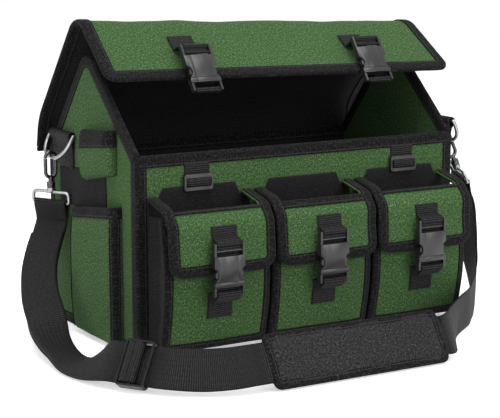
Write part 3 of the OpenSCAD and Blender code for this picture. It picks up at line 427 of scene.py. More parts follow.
# %% Binding tape
STITCH_IN = 0.0026
STITCH_PITCH = 0.0042
STITCH_SHARE = 0.72
TAPE_RIB = 0.0016
tape = Finish("binding_tape", 0.85, sheen=0.02, specular=0.12)
tape_along, tape_in = split_uv(tape)
tape_rib = waves(tape, tape_in, TAPE_RIB)
tape_weft = tape.noise(tape.coordinates("UV", (420, 300, 1)), 1.0, 3.0, 0.7)
tape_shade = tape.mix(tape.span(tape_weft, 0.48, 0.72), grey(0.001), grey(0.030))
off_line = tape.math("ABSOLUTE", tape.math("SUBTRACT", tape_in, STITCH_IN))
on_line = tape.span(off_line, 0.0005, 0.0008, 1.0, 0.0)
stitch_turn = tape.math("FRACT", tape.math("DIVIDE", tape_along, STITCH_PITCH))
stitch = tape.math("MULTIPLY", on_line, tape.math("LESS_THAN", stitch_turn, STITCH_SHARE))
tape.colour(tape.mix(tape.math("MULTIPLY", stitch, 0.5), tape_shade, grey(0.045)))
tape_height = tape.math("MULTIPLY_ADD", tape_weft, 0.5, tape.math("MULTIPLY", tape_rib, 0.5))
tape_sewn = tape.math("MULTIPLY_ADD", stitch, 1.2, tape_height)
tape.bump(tape.math("MULTIPLY_ADD", on_line, -0.7, tape_sewn), 0.0004, 0.9)
print("binding tape")

# %% [markdown]
# ### Webbing
# Nylon webbing is woven so tightly that its weft shows as fine ridges across the strap, crossed by shallow
# grooves along it. It has a soft gloss that plain cloth lacks.

# %% Webbing
WEB_RIDGE, WEB_GROOVE = 0.0025, 0.0056
webbing = Finish("ribbed_webbing", 0.62, sheen=0.0, specular=0.14)
web_along, web_across = split_uv(webbing)
web_ridge = waves(webbing, web_along, WEB_RIDGE)
web_groove = waves(webbing, web_across, WEB_GROOVE)
web_thread = webbing.noise(webbing.coordinates("UV", (420, 240, 1)), 1.0, 2.0)
web_tone = webbing.math("MULTIPLY_ADD", web_ridge, 0.5, webbing.math("MULTIPLY", web_thread, 0.6))
webbing.colour(webbing.mix(webbing.span(web_tone, 0.45, 0.95), grey(0.001), grey(0.030)))
webbing.bump(webbing.math("MULTIPLY_ADD", web_groove, 0.6, web_ridge), 0.0005, 0.8)
print("webbing")

# %% [markdown]
# ### Plastic and metals
# The buckles are moulded with a faint texture, so their gloss is broken up by a fine noise. A real buckle's face
# is also slightly crowned: a shallow curve in the bump, centred on each buckle, catches the light as the crown
# does. The rings and eyes are nickel plated, the hooks are gunmetal, and the slider is black metal.


# %% Hardware finishes
BUCKLES_X = (-0.147, -0.125, 0.0, 0.125, 0.147)
CROWN = 5.5
GRAIN = 0.00004


def moulded(name, shade, rough):
    """Plastic with a fine grain and a shallow crown over each buckle."""
    finish = Finish(name, rough)
    spots = finish.noise(finish.coordinates("Object", (1, 1, 1)), 900.0, 2.0)
    finish.colour(finish.mix(finish.span(spots, 0.3, 0.7), shade, tuple(c * 1.25 for c in shade)))
    place = finish.tree.nodes.new("ShaderNodeSeparateXYZ")
    finish.tree.links.new(finish.coordinates("Object", (1, 1, 1)), place.inputs[0])
    aside = 1.0
    for middle in BUCKLES_X:
        offset = finish.math("ABSOLUTE", finish.math("SUBTRACT", place.outputs[0], middle))
        aside = finish.math("MINIMUM", aside, offset)
    crown = finish.math("MULTIPLY", finish.math("MULTIPLY", aside, aside), -CROWN)
    finish.bump(finish.math("MULTIPLY_ADD", spots, GRAIN, crown), 1.0, 1.0)
    return finish


def metal(name, shade, rough):
    """Plated metal whose gloss is a little rubbed in places."""
    finish = Finish(name, rough, metallic=1.0)
    rub = finish.noise(finish.coordinates("Object", (1, 1, 1)), 160.0, 4.0)
    finish.colour(finish.mix(finish.span(rub, 0.35, 0.7), shade, tuple(c * 0.82 for c in shade)))
    finish.roughness(finish.span(rub, 0.3, 0.7, rough - 0.05, rough + 0.12))
    return finish


plastic = moulded("buckle_plastic", (0.009, 0.009, 0.010), 0.34)
nickel = metal("nickel_plate", (0.34, 0.34, 0.35), 0.24)
gunmetal = metal("gunmetal", (0.085, 0.085, 0.09), 0.22)
black_metal = metal("black_metal", (0.022, 0.022, 0.024), 0.3)
FINISHES = {
    "green_canvas": canvas, "binding_tape": tape.material, "webbing": webbing.material, "black_lining": lining,
    "buckle_plastic": plastic.material, "nickel": nickel.material, "black_metal": black_metal.material,
}
print("hardware finishes")

# %% [markdown]
# ## From a grid to a sewn panel
# Each panel starts as bmesh's flat grid. A placing function gets two shares, how far along and how far across,
# and says where that point of the cloth lies on the bag. One helper then covers walls, straps, tapes and tubes,
# and the UV map comes from the real lengths that the panel ends up with.

# %% Cloth from a grid
cloth_made = []


def cloth(name, body, slot_name, cells, place, thick=0.0, tone=None, near_edge=False, hides=()):
    """A grid of cells = (along, across) laid out by place(along, across), with UVs in metres."""
    bm = bmesh.new()
    uv = bm.loops.layers.uv.new("UVMap")
    bmesh.ops.create_grid(bm, x_segments=cells[0], y_segments=cells[1], size=0.5)
    shares = {}
    for v in bm.verts:
        shares[v] = (min(1.0, max(0.0, v.co.x + 0.5)), min(1.0, max(0.0, v.co.y + 0.5)))
    for v, (a, b) in shares.items():
        v.co = place(a, b)
    steps = 24
    length = sum((place(i / steps, 0.5) - place((i + 1) / steps, 0.5)).length for i in range(steps))
    width = sum((place(0.5, i / steps) - place(0.5, (i + 1) / steps)).length for i in range(steps))
    for face in bm.faces:
        for loop in face.loops:
            a, b = shares[loop.vert]
            loop[uv].uv = (a * length, (min(b, 1 - b) if near_edge else b) * width)
    data = bpy.data.meshes.new(name)
    bm.to_mesh(data)
    bm.free()
    piece = bpy.data.objects.new(name, data)
    bpy.context.scene.collection.objects.link(piece)
    data.materials.append(tone or FINISHES[slot_name])
    data.polygons.foreach_set("use_smooth", [True] * len(data.polygons))
    if thick:
        wall = piece.modifiers.new("thickness", "SOLIDIFY")
        wall.thickness = thick
        wall.offset = 0
    if hides:
        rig.replaces(piece, *hides)
    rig.slot(piece, slot_name)
    if body:
        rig.ride(piece, body)
    cloth_made.append(name)
    return piece


def reshape(piece, change):
    """Opens a piece's mesh as a bmesh, lets change(bm) work on it and puts it back."""
    bm = bmesh.new()
    bm.from_mesh(piece.data)
    change(bm)
    bm.to_mesh(piece.data)
    bm.free()
    return piece


def close_form(piece):
    """Merges the touching edges of a piece into one shell and turns its faces outwards."""
    def join(bm):
        bmesh.ops.remove_doubles(bm, verts=bm.verts, dist=0.00005)
        bmesh.ops.recalc_face_normals(bm, faces=bm.faces)
    return reshape(piece, join)


# %% Helpers for outlines
def rounded(points, radii, steps=8):
    """The corners of a flat path, each rounded by its own radius."""
    out = []
    for i, (point, radius) in enumerate(zip(points, radii)):
        if radius == 0:
            out.append(Vector(point))
            continue
        before = (Vector(points[i - 1]) - Vector(point)).normalized()
        after = (Vector(points[(i + 1) % len(points)]) - Vector(point)).normalized()
        half = before.angle(after) / 2
        centre = Vector(point) + (before + after).normalized() * radius / math.sin(half)
        start = Vector(point) + before * radius / math.tan(half) - centre
        end = Vector(point) + after * radius / math.tan(half) - centre
        swing = start.angle_signed(end)
        for k in range(steps + 1):
            turned = start.copy()
            turned.rotate(Matrix.Rotation(-swing * k / steps, 2))
            out.append(centre + turned)
    return out


class Path:
    """A polyline that can be asked for the point and the direction at any distance along it."""

    def __init__(self, points):
        self.points = [Vector(p) for p in points]
        self.reach = [0.0]
        for a, b in zip(self.points, self.points[1:]):
            self.reach.append(self.reach[-1] + (b - a).length)
        self.length = self.reach[-1]

    def at(self, distance):
        for i in range(1, len(self.points)):
            if distance <= self.reach[i] or i == len(self.points) - 1:
                step = max(self.reach[i] - self.reach[i - 1], 1e-9)
                return self.points[i - 1].lerp(self.points[i], (distance - self.reach[i - 1]) / step)

    def heading(self, distance, step=1.5):
        a, b = self.at(max(distance - step, 0)), self.at(min(distance + step, self.length))
        return (b - a).normalized()


def ripple(x, y, z, size, depth):
    """A slow, repeatable unevenness, as cloth has between its seams."""
    return depth * noise.noise(Vector((x / size, y / size, z / size)))


def smooth_step(value):
    """Rises from 0 to 1 without a corner at either end."""
    value = min(1.0, max(0.0, value))
    return value * value * (3 - 2 * value)


print("cloth helpers are ready")

# %% [markdown]
# ## The case
# The case is stiffened canvas: two peaked end panels, a front wall and a lower back wall. Real walls are never
# flat, so each one bulges by a millimetre or two between its seams. The end panel's grid has its top row on
# the peaked outline, so the cloth needs no cutting.

# %% Sizes of the case, in millimetres
HALF_L, HALF_D = 230.0, 125.0
FRONT_H, BACK_H = 240.0, 222.0
WALL = 5.0
TAPE_W, TAPE_T = 13.0, 1.2
PEAK_Y, PEAK_H, PEAK_R = 10, 360, 26
end_line = Path(rounded([(-HALF_D, FRONT_H), (PEAK_Y, PEAK_H), (HALF_D, BACK_H)], [0, PEAK_R, 0]))
print("case", 2 * HALF_L, "x", 2 * HALF_D, "mm, front", FRONT_H, "mm high")


def end_top(y):
    """Height of an end panel's outline at a depth."""
    for a, b in zip(end_line.points, end_line.points[1:]):
        if a.x <= y <= b.x:
            return a.y + (b.y - a.y) * (y - a.x) / (b.x - a.x)
    return FRONT_H if y < 0 else BACK_H


def bulge(a, b, depth):
    """A swell that is nothing at a panel's seams and full in its middle."""
    return depth * (math.sin(math.pi * a) * math.sin(math.pi * b)) ** 0.6


# %% End panels
for side, name, node in ((-1, "left_end_canvas", "left_end"), (1, "right_end_canvas", "right_end")):
    def place_end(a, b, side=side):
        y = -HALF_D + 2 * HALF_D * a
        z = b * end_top(y)
        out = HALF_L - WALL / 2 + bulge(a, b, 1.2) + ripple(y, z, side * 9, 60, 1.2) * bulge(a, b, 1)
        return Vector((side * out, y, z)) * MM
    cloth(name, "root", "green_canvas", (60, 70), place_end, thick=WALL * MM, hides=[node])


# %% Front wall, back wall and base
def place_front(a, b):
    x, z = -HALF_L + WALL + 2 * (HALF_L - WALL) * a, FRONT_H * b
    sink = ripple(x, z, 3, 55, 1.4) * bulge(a, b, 1)
    return Vector((x, -HALF_D + WALL / 2 - sink, z)) * MM


cloth("front_canvas", "root", "green_canvas", (110, 50), place_front, thick=WALL * MM, hides=["front_wall"])


def back_at(depth):
    """Places one of the back wall's two layers, at a depth behind the outer face."""
    def place_back(a, b):
        x, z = -HALF_L + WALL + 2 * (HALF_L - WALL) * a, BACK_H * b
        return Vector((x, HALF_D - depth + ripple(x, z, 8, 70, 1.2) * bulge(a, b, 1), z)) * MM
    return place_back


cloth("back_canvas", "root", "green_canvas", (80, 40), back_at(1.5), thick=3 * MM, hides=["back_wall"])
cloth("back_inside", "root", "black_lining", (80, 40), back_at(4), thick=2 * MM, hides=["back_wall"])


def place_base(a, b):
    x = -HALF_L + WALL + 2 * (HALF_L - WALL) * a
    y = -HALF_D + WALL + 2 * (HALF_D - WALL) * b
    return Vector((x, y, WALL / 2)) * MM


cloth("base_canvas", "root", "green_canvas", (60, 40), place_base, thick=WALL * MM, hides=["bottom_panel"],
      tone=lining)
print("case walls:", len(cloth_made), "pieces")

# %% [markdown]
# ## Binding tape
# A tape folds over an edge like a long letter U. Its path is the edge of the panel, and its section runs from
# one face of the panel, round the edge, to the other. The panel may be curved, so the helper asks the panel
# itself where a point lies that is a given distance in from the edge.

# %% Tape round the edge of any panel
def bind(name, body, edge, surface, sheet_t, width=TAPE_W, hides=(), cells=None):
    """edge is a path in the panel's own two measures, with the panel on its left.
    surface(point) gives the place and the normal of the panel there."""
    run = Path(edge)
    half = sheet_t / 2 + TAPE_T / 2 + 0.15
    section = Path([(width, half), (1.5, half), (-0.4, half * 0.75), (-TAPE_T, half * 0.3),
                    (-TAPE_T, -half * 0.3), (-0.4, -half * 0.75), (1.5, -half), (width, -half)])

    def place_tape(a, b):
        along = run.length * a
        spot, way = run.at(along), run.heading(along)
        inward = Vector((-way.y, way.x))
        depth, lift = section.at(section.length * b)
        point, normal = surface(spot + inward * depth)
        wander = ripple(along, depth, 5, 14, 0.35)
        return (point + normal * (lift + math.copysign(wander, lift))) * MM

    count = cells or max(8, int(run.length / 5))
    return cloth(name, body, "binding_tape", (count, 18), place_tape, thick=TAPE_T * 0.9 * MM, near_edge=True,
                 hides=hides)


# %% Tape on the rims of the case
def end_surface(side):
    """An end panel, answering with its place and normal for a point in depth and height."""
    def at(p):
        return Vector((side * (HALF_L - WALL / 2), p.x, p.y)), Vector((side, 0, 0))
    return at


rim_edge = list(reversed(end_line.points))
for side, name in ((-1, "left_rim_tape"), (1, "right_rim_tape")):
    bind(name, "root", rim_edge, end_surface(side), WALL, hides=["rim_bindings"])


def front_surface(p):
    return Vector((p.x, -HALF_D + WALL / 2, p.y)), Vector((0, -1, 0))


def back_surface(p):
    return Vector((p.x, HALF_D - WALL / 2, p.y)), Vector((0, 1, 0))


bind("front_rim_tape", "root", [(HALF_L - 4, FRONT_H), (-HALF_L + 4, FRONT_H)], front_surface, WALL)
bind("back_rim_tape", "root", [(HALF_L - 4, BACK_H), (-HALF_L + 4, BACK_H)], back_surface, WALL)

# %% Tape on the corners
TAPE_OUT = 0.7
corner = Path(rounded([(HALF_L - TAPE_W, HALF_D + TAPE_OUT), (HALF_L + TAPE_OUT, HALF_D + TAPE_OUT),
                       (HALF_L + TAPE_OUT, HALF_D - TAPE_W)], [0, 2.5, 0]))
for sx, sy, name, top in ((-1, -1, "front_left", FRONT_H), (1, -1, "front_right", FRONT_H),
                          (-1, 1, "back_left", BACK_H), (1, 1, "back_right", BACK_H)):
    def place_corner(a, b, sx=sx, sy=sy, top=top):
        spot = corner.at(corner.length * b)
        wander = ripple(a * top, b * 20, sx + sy, 20, 0.4)
        return Vector((sx * (spot.x + wander * 0.4), sy * (spot.y + wander * 0.4), 2 + (top - 2) * a)) * MM
    cloth(f"corner_tape_{name}", "root", "binding_tape", (48, 14), place_corner, thick=1.0 * MM, near_edge=True,
          hides=["seam_bindings"])

# %% Tape round the foot, the last quarter of it turned under the base
FOOT_H, FOOT_UP = 13.5, 0.72
foot_x, foot_y = HALF_L + TAPE_OUT, HALF_D + TAPE_OUT
foot_line = rounded([(-foot_x, -foot_y), (foot_x, -foot_y), (foot_x, foot_y), (-foot_x, foot_y)], [3, 3, 3, 3])
foot_path = Path([*foot_line, foot_line[0]])


def place_foot(a, b):
    spot = foot_path.at(foot_path.length * a)
    under = max(0.0, b - FOOT_UP) / 0.28
    pull = 1 - 0.025 * under
    return Vector((spot.x * pull, spot.y * pull, max(0.6, FOOT_H * (1 - b / FOOT_UP)))) * MM


cloth("foot_tape", "root", "binding_tape", (300, 12), place_foot, thick=1.0 * MM, near_edge=True)
print("tapes on the case")

# %% [markdown]
# ## Surfaces that answer questions
# Tapes on curved panels need to know where the panel is and which way it faces. Any placing function can answer
# that: two nearby points give the panel's slopes, and their cross product gives its normal.


# %% A panel's point and normal from its placing function
def surface_of(place, length, width, outward=1):
    """Turns place(along, across) into surface(point), measured in millimetres on the panel."""
    def at(p):
        a, b = p.x / length, p.y / width
        here = place(a, b)
        step_a = place(a + 0.01, b) - place(a - 0.01, b)
        step_b = place(a, b + 0.01) - place(a, b - 0.01)
        return here / MM, step_a.cross(step_b).normalized() * outward
    return at


# %% [markdown]
# ## Front pockets
# Each pocket is a bulging canvas front with black pleated gussets at its sides. Its front is bound down both
# sides and along the bottom. The canvas is fullest a little above the middle, where a load would push it out.

# %% Sizes of the front pockets
POCKET_W, POCKET_PITCH = 140.0, 147.0
POCKET_LOW, POCKET_TOP = 12.0, 172.0
POCKET_T = 2.4
pocket_line = Path(rounded([(-HALF_D - 40, POCKET_LOW), (-HALF_D - 56, 92), (-HALF_D - 41, POCKET_TOP)],
                           [0, 250, 0]))
POCKET_L = pocket_line.length
print("a pocket's front is", round(POCKET_L), "mm tall along its curve")


def pocket_x(number):
    """The middle of a pocket, counted from the left."""
    return (number - 2) * POCKET_PITCH


def pocket_front_at(number):
    """Places a pocket's front, tucked in at its sides and full in its middle."""
    def place(a, b):
        spot = pocket_line.at(POCKET_L * b)
        x = pocket_x(number) + POCKET_W * (a - 0.5)
        side = abs(2 * a - 1)
        tuck = 3.2 * side ** 4 - 1.6 * bulge(min(1, max(0, a)), min(1, max(0, b)), 1)
        wrinkle = ripple(x, spot.y, number * 7, 36, 2.0) * (1 - side ** 3)
        return Vector((x, spot.x + 1.25 + tuck + wrinkle, spot.y)) * MM
    return place


# %% Pocket fronts with their tape
for number in (1, 2, 3):
    place_pocket = pocket_front_at(number)
    cloth(f"pocket_{number}_front", "root", "green_canvas", (44, 48), place_pocket, thick=POCKET_T * MM,
          hides=["pocket_fronts"])
    panel = surface_of(place_pocket, POCKET_W, POCKET_L)
    edge = rounded([(0, POCKET_L), (0, 0), (POCKET_W, 0), (POCKET_W, POCKET_L)], [0, 9, 9, 0])
    bind(f"pocket_{number}_front_tape", "root", edge, panel, POCKET_T, width=8.5)
    mouth = [(POCKET_W, POCKET_L), (0, POCKET_L)]
    bind(f"pocket_{number}_mouth_tape", "root", mouth, panel, POCKET_T, width=9)

# %% Gussets and bases, which join the fronts to the wall
GUSSET_T = 1.4
gusset_x = -POCKET_W / 2 + GUSSET_T
gusset_line = Path([(gusset_x, -HALF_D - 40), (-POCKET_W / 2 + 6.2, -HALF_D - 19), (gusset_x, -HALF_D)])
for number in (1, 2, 3):
    for side, side_name in ((-1, "left"), (1, "right")):
        def place_gusset(a, b, side=side, number=number):
            spot = gusset_line.at(gusset_line.length * a)
            z = POCKET_LOW + (POCKET_TOP - 2 - POCKET_LOW) * b
            reach = (spot.y + HALF_D) / -40
            deep = reach * (pocket_line.at(POCKET_L * b).x + 2.6 + HALF_D)
            fold = ripple(z, a * 30, number + side, 24, 2.2) * math.sin(math.pi * a)
            return Vector((pocket_x(number) - side * (spot.x + fold), -HALF_D + deep, z)) * MM
        cloth(f"pocket_{number}_gusset_{side_name}", "root", "black_lining", (16, 36), place_gusset,
              thick=GUSSET_T * MM, hides=["pocket_gussets"])

    def place_pocket_base(a, b, number=number):
        x = pocket_x(number) + POCKET_W * (a - 0.5) * 0.98
        return Vector((x, -HALF_D - 1 - 38 * b, POCKET_LOW - 0.9)) * MM
    cloth(f"pocket_{number}_base", "root", "black_lining", (20, 8), place_pocket_base, thick=GUSSET_T * MM)

# %% The black cloth behind each mouth, lower at its sides to leave room for the flap's arms
for number in (1, 2, 3):
    def place_back(a, b, number=number):
        across = POCKET_W * (a - 0.5)
        high = 52 - 14.5 * smooth_step((abs(across) - 50) / 5)
        y = -HALF_D - 1.5 - ripple(a * 140, b * 40, number, 30, 0.3)
        return Vector((pocket_x(number) + across, y, 150 + high * b)) * MM
    cloth(f"pocket_{number}_back", "root", "black_lining", (40, 16), place_back, thick=1.0 * MM)
print("front pockets")

# %% [markdown]
# ## Pocket flaps
# A flap reaches from the wall over the pocket in two narrow arms, then turns down over the pocket's front. The
# open window between the arms lets long things stand up out of a closed pocket. The grid is drawn whole and the
# window's faces are deleted, so the flap stays one piece of cloth. Tape runs down both arms and round the lower
# corners.

# %% Sizes of the flaps
FLAP_T, FLAP_ARM = 3.0, 13.0
flap_line = Path(rounded([(-HALF_D - 2.7, 190), (-HALF_D - 43, 181), (-HALF_D - 57, 163),
                          (-HALF_D - 60, 106)], [0, 12, 12, 0]))
FLAP_L = flap_line.length
FLAP_WINDOW = 44.0
FLAP_CORNER = 15.0
print("a flap is", round(FLAP_L), "mm long, with a window of", FLAP_WINDOW, "mm")


def corner_room(distance, radius):
    """How far a rounded corner draws a panel's side in, at a distance from the panel's edge."""
    if distance >= radius:
        return 0.0
    return radius - math.sqrt(max(0.0, radius ** 2 - (radius - distance) ** 2))


def flap_at(number):
    """Places a flap's cloth: a runs across the pocket, and b from the wall to the hanging edge."""
    def place(a, b):
        s = FLAP_L * b
        spot, way = flap_line.at(s), flap_line.heading(s)
        out = Vector((way.y, -way.x))
        x = POCKET_W * (a - 0.5)
        hang = smooth_step((s - FLAP_WINDOW) / 30)
        puff = hang * (2.2 * (1 - abs(2 * a - 1) ** 2.5) + ripple(x, s, number * 13, 34, 2.2))
        spot = spot + out * puff
        return Vector((pocket_x(number) + x, spot.x, spot.y)) * MM
    return place


def open_window(piece, inside):
    """Deletes the faces whose middle lies inside the window."""
    def cut(bm):
        gone = [face for face in bm.faces if inside(face.calc_center_median() / MM)]
        bmesh.ops.delete(bm, geom=gone, context="FACES")
    reshape(piece, cut)


# %% Flaps with their tape
for number in (1, 2, 3):
    body = f"pocket_{number}_cover"
    place_flap = flap_at(number)

    def place_cut(a, b, place_flap=place_flap):
        across = 0.5 + (a - 0.5) * (1 - 2 * corner_room(FLAP_L * (1 - b), FLAP_CORNER) / POCKET_W)
        return place_flap(across, b)
    flap = cloth(f"pocket_{number}_flap_cloth", body, "green_canvas", (56, 56), place_cut,
                 thick=FLAP_T * 0.9 * MM, hides=[f"pocket_{number}_flap"])
    wide, deep = POCKET_W / 2 - FLAP_ARM, flap_line.at(FLAP_WINDOW).x
    middle = pocket_x(number)
    open_window(flap, lambda c: abs(c.x - middle) < wide and c.y > deep)
    panel = surface_of(place_flap, POCKET_W, FLAP_L)
    edge = rounded([(POCKET_W, 1), (POCKET_W, FLAP_L), (0, FLAP_L), (0, 1)], [0, FLAP_CORNER, FLAP_CORNER, 0])
    bind(f"pocket_{number}_flap_tape", body, edge, panel, FLAP_T, width=11.5)
    window_width = 10.0 if number == 2 else 4.0
    sill = [(FLAP_ARM - 1, FLAP_WINDOW), (POCKET_W - FLAP_ARM + 1, FLAP_WINDOW)]
    bind(f"pocket_{number}_window_tape", body, sill, panel, FLAP_T, width=window_width)
print("flaps")

# %% [markdown]
# ## End pockets
# The pockets on the end panels are shells of canvas that stand out from the panel, closed at the sides and the
# bottom. Seen from above, such a shell is a flat letter U, and its depth changes with height.


# %% Side pockets
def shell_at(side, y_mid, wide, low, high, deep, rise, foot_rise):
    """The mouth and the foot climb by rise and foot_rise for each millimetre towards the front."""
    def place(a, b):
        z = low + (high - low) * b
        lift = (z - low) / 9
        out = deep * (0.8 + 0.2 * math.sin(math.pi * min(1, max(0, b))) ** 0.8)
        if lift < 1:
            out *= math.sqrt(max(0.02, 1 - (1 - lift) ** 2))
        turn = min(9.0, out * 0.45)
        plan = Path(rounded([(-wide / 2, 0), (-wide / 2, out), (wide / 2, out), (wide / 2, 0)],
                            [0, turn, turn, 0], 5))
        spot = plan.at(plan.length * a)
        ease = ripple(spot.x, z, deep, 40, 2.4) * math.sin(math.pi * min(1, max(0, a)))
        z -= (rise * smooth_step(b) + foot_rise * (1 - smooth_step(b))) * spot.x
        return Vector((side * (HALF_L + 1.3 + max(0, spot.y + ease - 1.3)), y_mid + spot.x, z)) * MM
    return place


def tape_on(name, surface, low, high):
    """A flat strip between two corners, laid on a panel that answers for its own surface."""
    def place(a, b):
        point, normal = surface(Vector((low[0] + (high[0] - low[0]) * b, low[1] + (high[1] - low[1]) * a)))
        return (point + normal * (1.9 + ripple(a * 60, b * 9, low[0], 14, 0.3))) * MM
    return cloth(name, "root", "binding_tape", (60, 8), place, thick=0.9 * MM, near_edge=True)


for side, name, y_mid, wide, low, high, deep, rise, foot_rise in (
        (-1, "left_lower_pocket", -28, 116, 2.5, 167, 17, 0.13, 0),
        (1, "right_lower_pocket", 30, 116, 2.5, 168, 17, 0, 0),
        (-1, "left_upper_pouch", -33, 82, 205, 262, 13, 0.1, 0.2)):
    is_lower = "lower" in name
    place_shell = shell_at(side, y_mid, wide, low, high, deep, rise, foot_rise)
    cloth(name, "root", "green_canvas", (64, 46), place_shell, thick=POCKET_T * MM, hides=["side_pockets"])
    around, tall = wide + 2 * deep - 12, high - low
    panel = surface_of(place_shell, around, tall, outward=side)
    bind(f"{name}_tape", "root", [(around - 2, tall), (2, tall)], panel, POCKET_T, width=12 if is_lower else 20,
         hides=["side_pocket_trim"])
    if is_lower:
        tape_on(f"{name}_front_seam", panel, (deep - 13, 6), (deep - 1, tall - 8))
        tape_on(f"{name}_back_seam", panel, (around - deep + 1, 6), (around - deep + 6, tall - 8))

# %% The black patch sewn to the left end, under the ring's tab


def place_patch(a, b):
    x = -HALF_L - 1.3 - ripple(a * 130, b * 40, 3, 25, 0.5)
    return Vector((x, 90 - 136 * a, 158 + (45 + 13 * a) * b)) * MM


cloth("left_end_patch", "root", "binding_tape", (50, 20), place_patch, thick=1.2 * MM, tone=lining)
print("end pockets")

# %% [markdown]
# ## Webbing
# A strap is a long grid swept along a route. Where it holds a bar it wraps round it and comes back on itself,
# so the route is drawn as the real strap runs: down, round the bar and back.


# %% Straps that run in depth and height
def round_bar(centre, radius, start, end, steps=14):
    """Points round a bar, with the angles in degrees from +Y towards +Z."""
    turns = [math.radians(start + (end - start) * i / steps) for i in range(steps + 1)]
    return [(centre[0] + radius * math.cos(t), centre[1] + radius * math.sin(t)) for t in turns]


WEB_W, WEB_T = 33.0, 1.6
BAR_R = 2.5


def strap_yz(name, body, middle_x, route, hides=()):
    """A strap whose route lies in depth and height, with its width along X."""
    run = Path(route)

    def place(a, b):
        spot = run.at(run.length * a)
        return Vector((middle_x + WEB_W * (b - 0.5), spot.x, spot.y)) * MM
    cells = (max(16, int(run.length / 1.6)), 10)
    return cloth(name, body, "webbing", cells, place, thick=WEB_T * MM, hides=hides)


# %% The webs of the pocket buckles: sewn to the flap, through the buckle's bars, and on the pocket below
top_bar, low_bar = (-197.5, 142.1), (-197.5, 81.9)
after_top_bar = [(-198.6, 137.4), (-197.8, 134.0), (-195.8, 130.2), (-194.6, 125.5)]
plug_route = [(-191.8, 74.0), (-192.4, 80.0), (-193.0, 90.5), (-194.8, 90.5), (-194.6, 86.0),
              *round_bar(low_bar, BAR_R + 1.5, 20, 230), (-196.2, 76.8), (-192.6, 72.6)]
for number in (1, 2, 3):
    body, x = f"pocket_{number}_cover", pocket_x(number)
    face = flap_at(number)
    sewn = []
    for z in (162, 157, 152, 148):
        near = min((abs(face(0.5, k / 90).z / MM - z), k / 90) for k in range(30, 90))[1]
        sewn.append((min(face(a, near).y for a in (0.39, 0.45, 0.5, 0.55, 0.61)) / MM - 2.5, z))
    flap_route = [*sewn, (-193.4, 146.9), *round_bar(top_bar, BAR_R, 100, 262), *after_top_bar]
    strap_yz(f"pocket_{number}_flap_web", body, x, flap_route, hides=[f"pocket_{number}_flap_strap"])
    strap_yz(f"pocket_{number}_plug_web", body, x, plug_route, hides=[f"pocket_{number}_flap_strap"])
    lower = [(pocket_line.at(s).x - 2.2, pocket_line.at(s).y) for s in range(38, 74, 4)]
    strap_yz(f"pocket_{number}_lower_web", "root", x, lower, hides=["body_webbing"])

# %% Short webs that hold the two ladder locks on the front wall
wall, over_lock = -HALF_D - 1.0, -HALF_D - 1.0 - 7.4
lock_route = rounded([(wall, 229), (wall, 212), (over_lock, 210), (over_lock, 202), (wall, 200), (wall, 186)],
                     [0, 1.5, 1.5, 1.5, 1.5, 0], 4)
for side, name in ((-1, "left_closure_web"), (1, "right_closure_web")):
    strap_yz(name, "root", side * 150, lock_route)


# %% Tabs that hold the rings
for side, name, y, bar_z in ((-1, "left_ring_tab", 76, 246.0), (1, "right_ring_tab", -90, 254.0)):
    loop = round_bar((-234.4, bar_z), 4.6, 0, 180)
    run = Path([(-230.9, bar_z - 40), (-230.9, bar_z - 6), *loop, (-237.6, bar_z - 4.5), (-234.4, bar_z - 10),
                (-232.9, bar_z - 16), (-232.9, bar_z - 41)])

    def place_tab(a, b, run=run, side=side, y=y):
        spot = run.at(run.length * a)
        return Vector((-side * spot.x, y + 61 * (b - 0.5), spot.y)) * MM
    cloth(name, "root", "webbing", (90, 12), place_tab, thick=1.5 * MM)
print("webbing on the case")

# %% [markdown]
# ## The lid
# The lid is one padded sheet that folds into a tent: sewn to the back wall, it rises over the ridge and falls in
# front. It is a single piece of cloth that crosses the fold, so it bends between the lid's two halves instead
# of being cut in two. A black lining lies under it, and one length of tape runs round three of its sides.

# %% The lid's profile
LID_X, LID_T = 245.0, 4.0
PIN = (130.2, 221.0)
BEAD_R = 3.2
lid_line = Path(rounded([PIN, (122.2, 261), (3.5, 398), (-90, 326)], [0, 60, 27, 0], 14))
LID_L = lid_line.length
LID_CORNER = 14.0
RIDGE_S = LID_L - 106.0
RIDGE_DROP, RIDGE_TILT = 3.5, 8.0
EDGE_DROP, EDGE_TILT, EDGE_LEAN = 1.5, 3.5, 8.0


def slump(x, s):
    """How the soft lid leans away from its even profile: its right end hangs lower and further forward."""
    k = x / LID_X
    at_ridge, at_edge = -RIDGE_DROP - RIDGE_TILT * k, -EDGE_DROP - EDGE_TILT * k
    if s < RIDGE_S:
        return Vector((0, 0, at_ridge * smooth_step(s / RIDGE_S)))
    share = (s - RIDGE_S) / (LID_L - RIDGE_S)
    return Vector((0, -EDGE_LEAN * k * share, at_ridge * (1 - share) + at_edge * share))


def lid_layer(depth, swell):
    """Places one layer of the lid, at a depth in its thickness, with its own share of the swell."""
    def place(a, b):
        s = LID_L * b
        spot, way = lid_line.at(s), lid_line.heading(s, 3)
        out = Vector((way.y, -way.x))
        x = 2 * LID_X * (a - 0.5)
        inside = min(1, max(0, a)), min(1, max(0, b))
        ease = swell * (ripple(x, s, 2, 75, 3.2) + ripple(x, s, 4, 30, 1.0) - 1.2) * bulge(*inside, 1)
        spot = spot + out * (depth + ease)
        return (Vector((x, spot.x, spot.y)) + slump(x, s)) * MM
    return place


def rounded_end(place):
    """Draws the sides of the lid's layers in at its free corners."""
    def cut(a, b):
        room = corner_room(LID_L * (1 - b), LID_CORNER)
        return place(0.5 + (a - 0.5) * (1 - room / LID_X), b)
    return cut


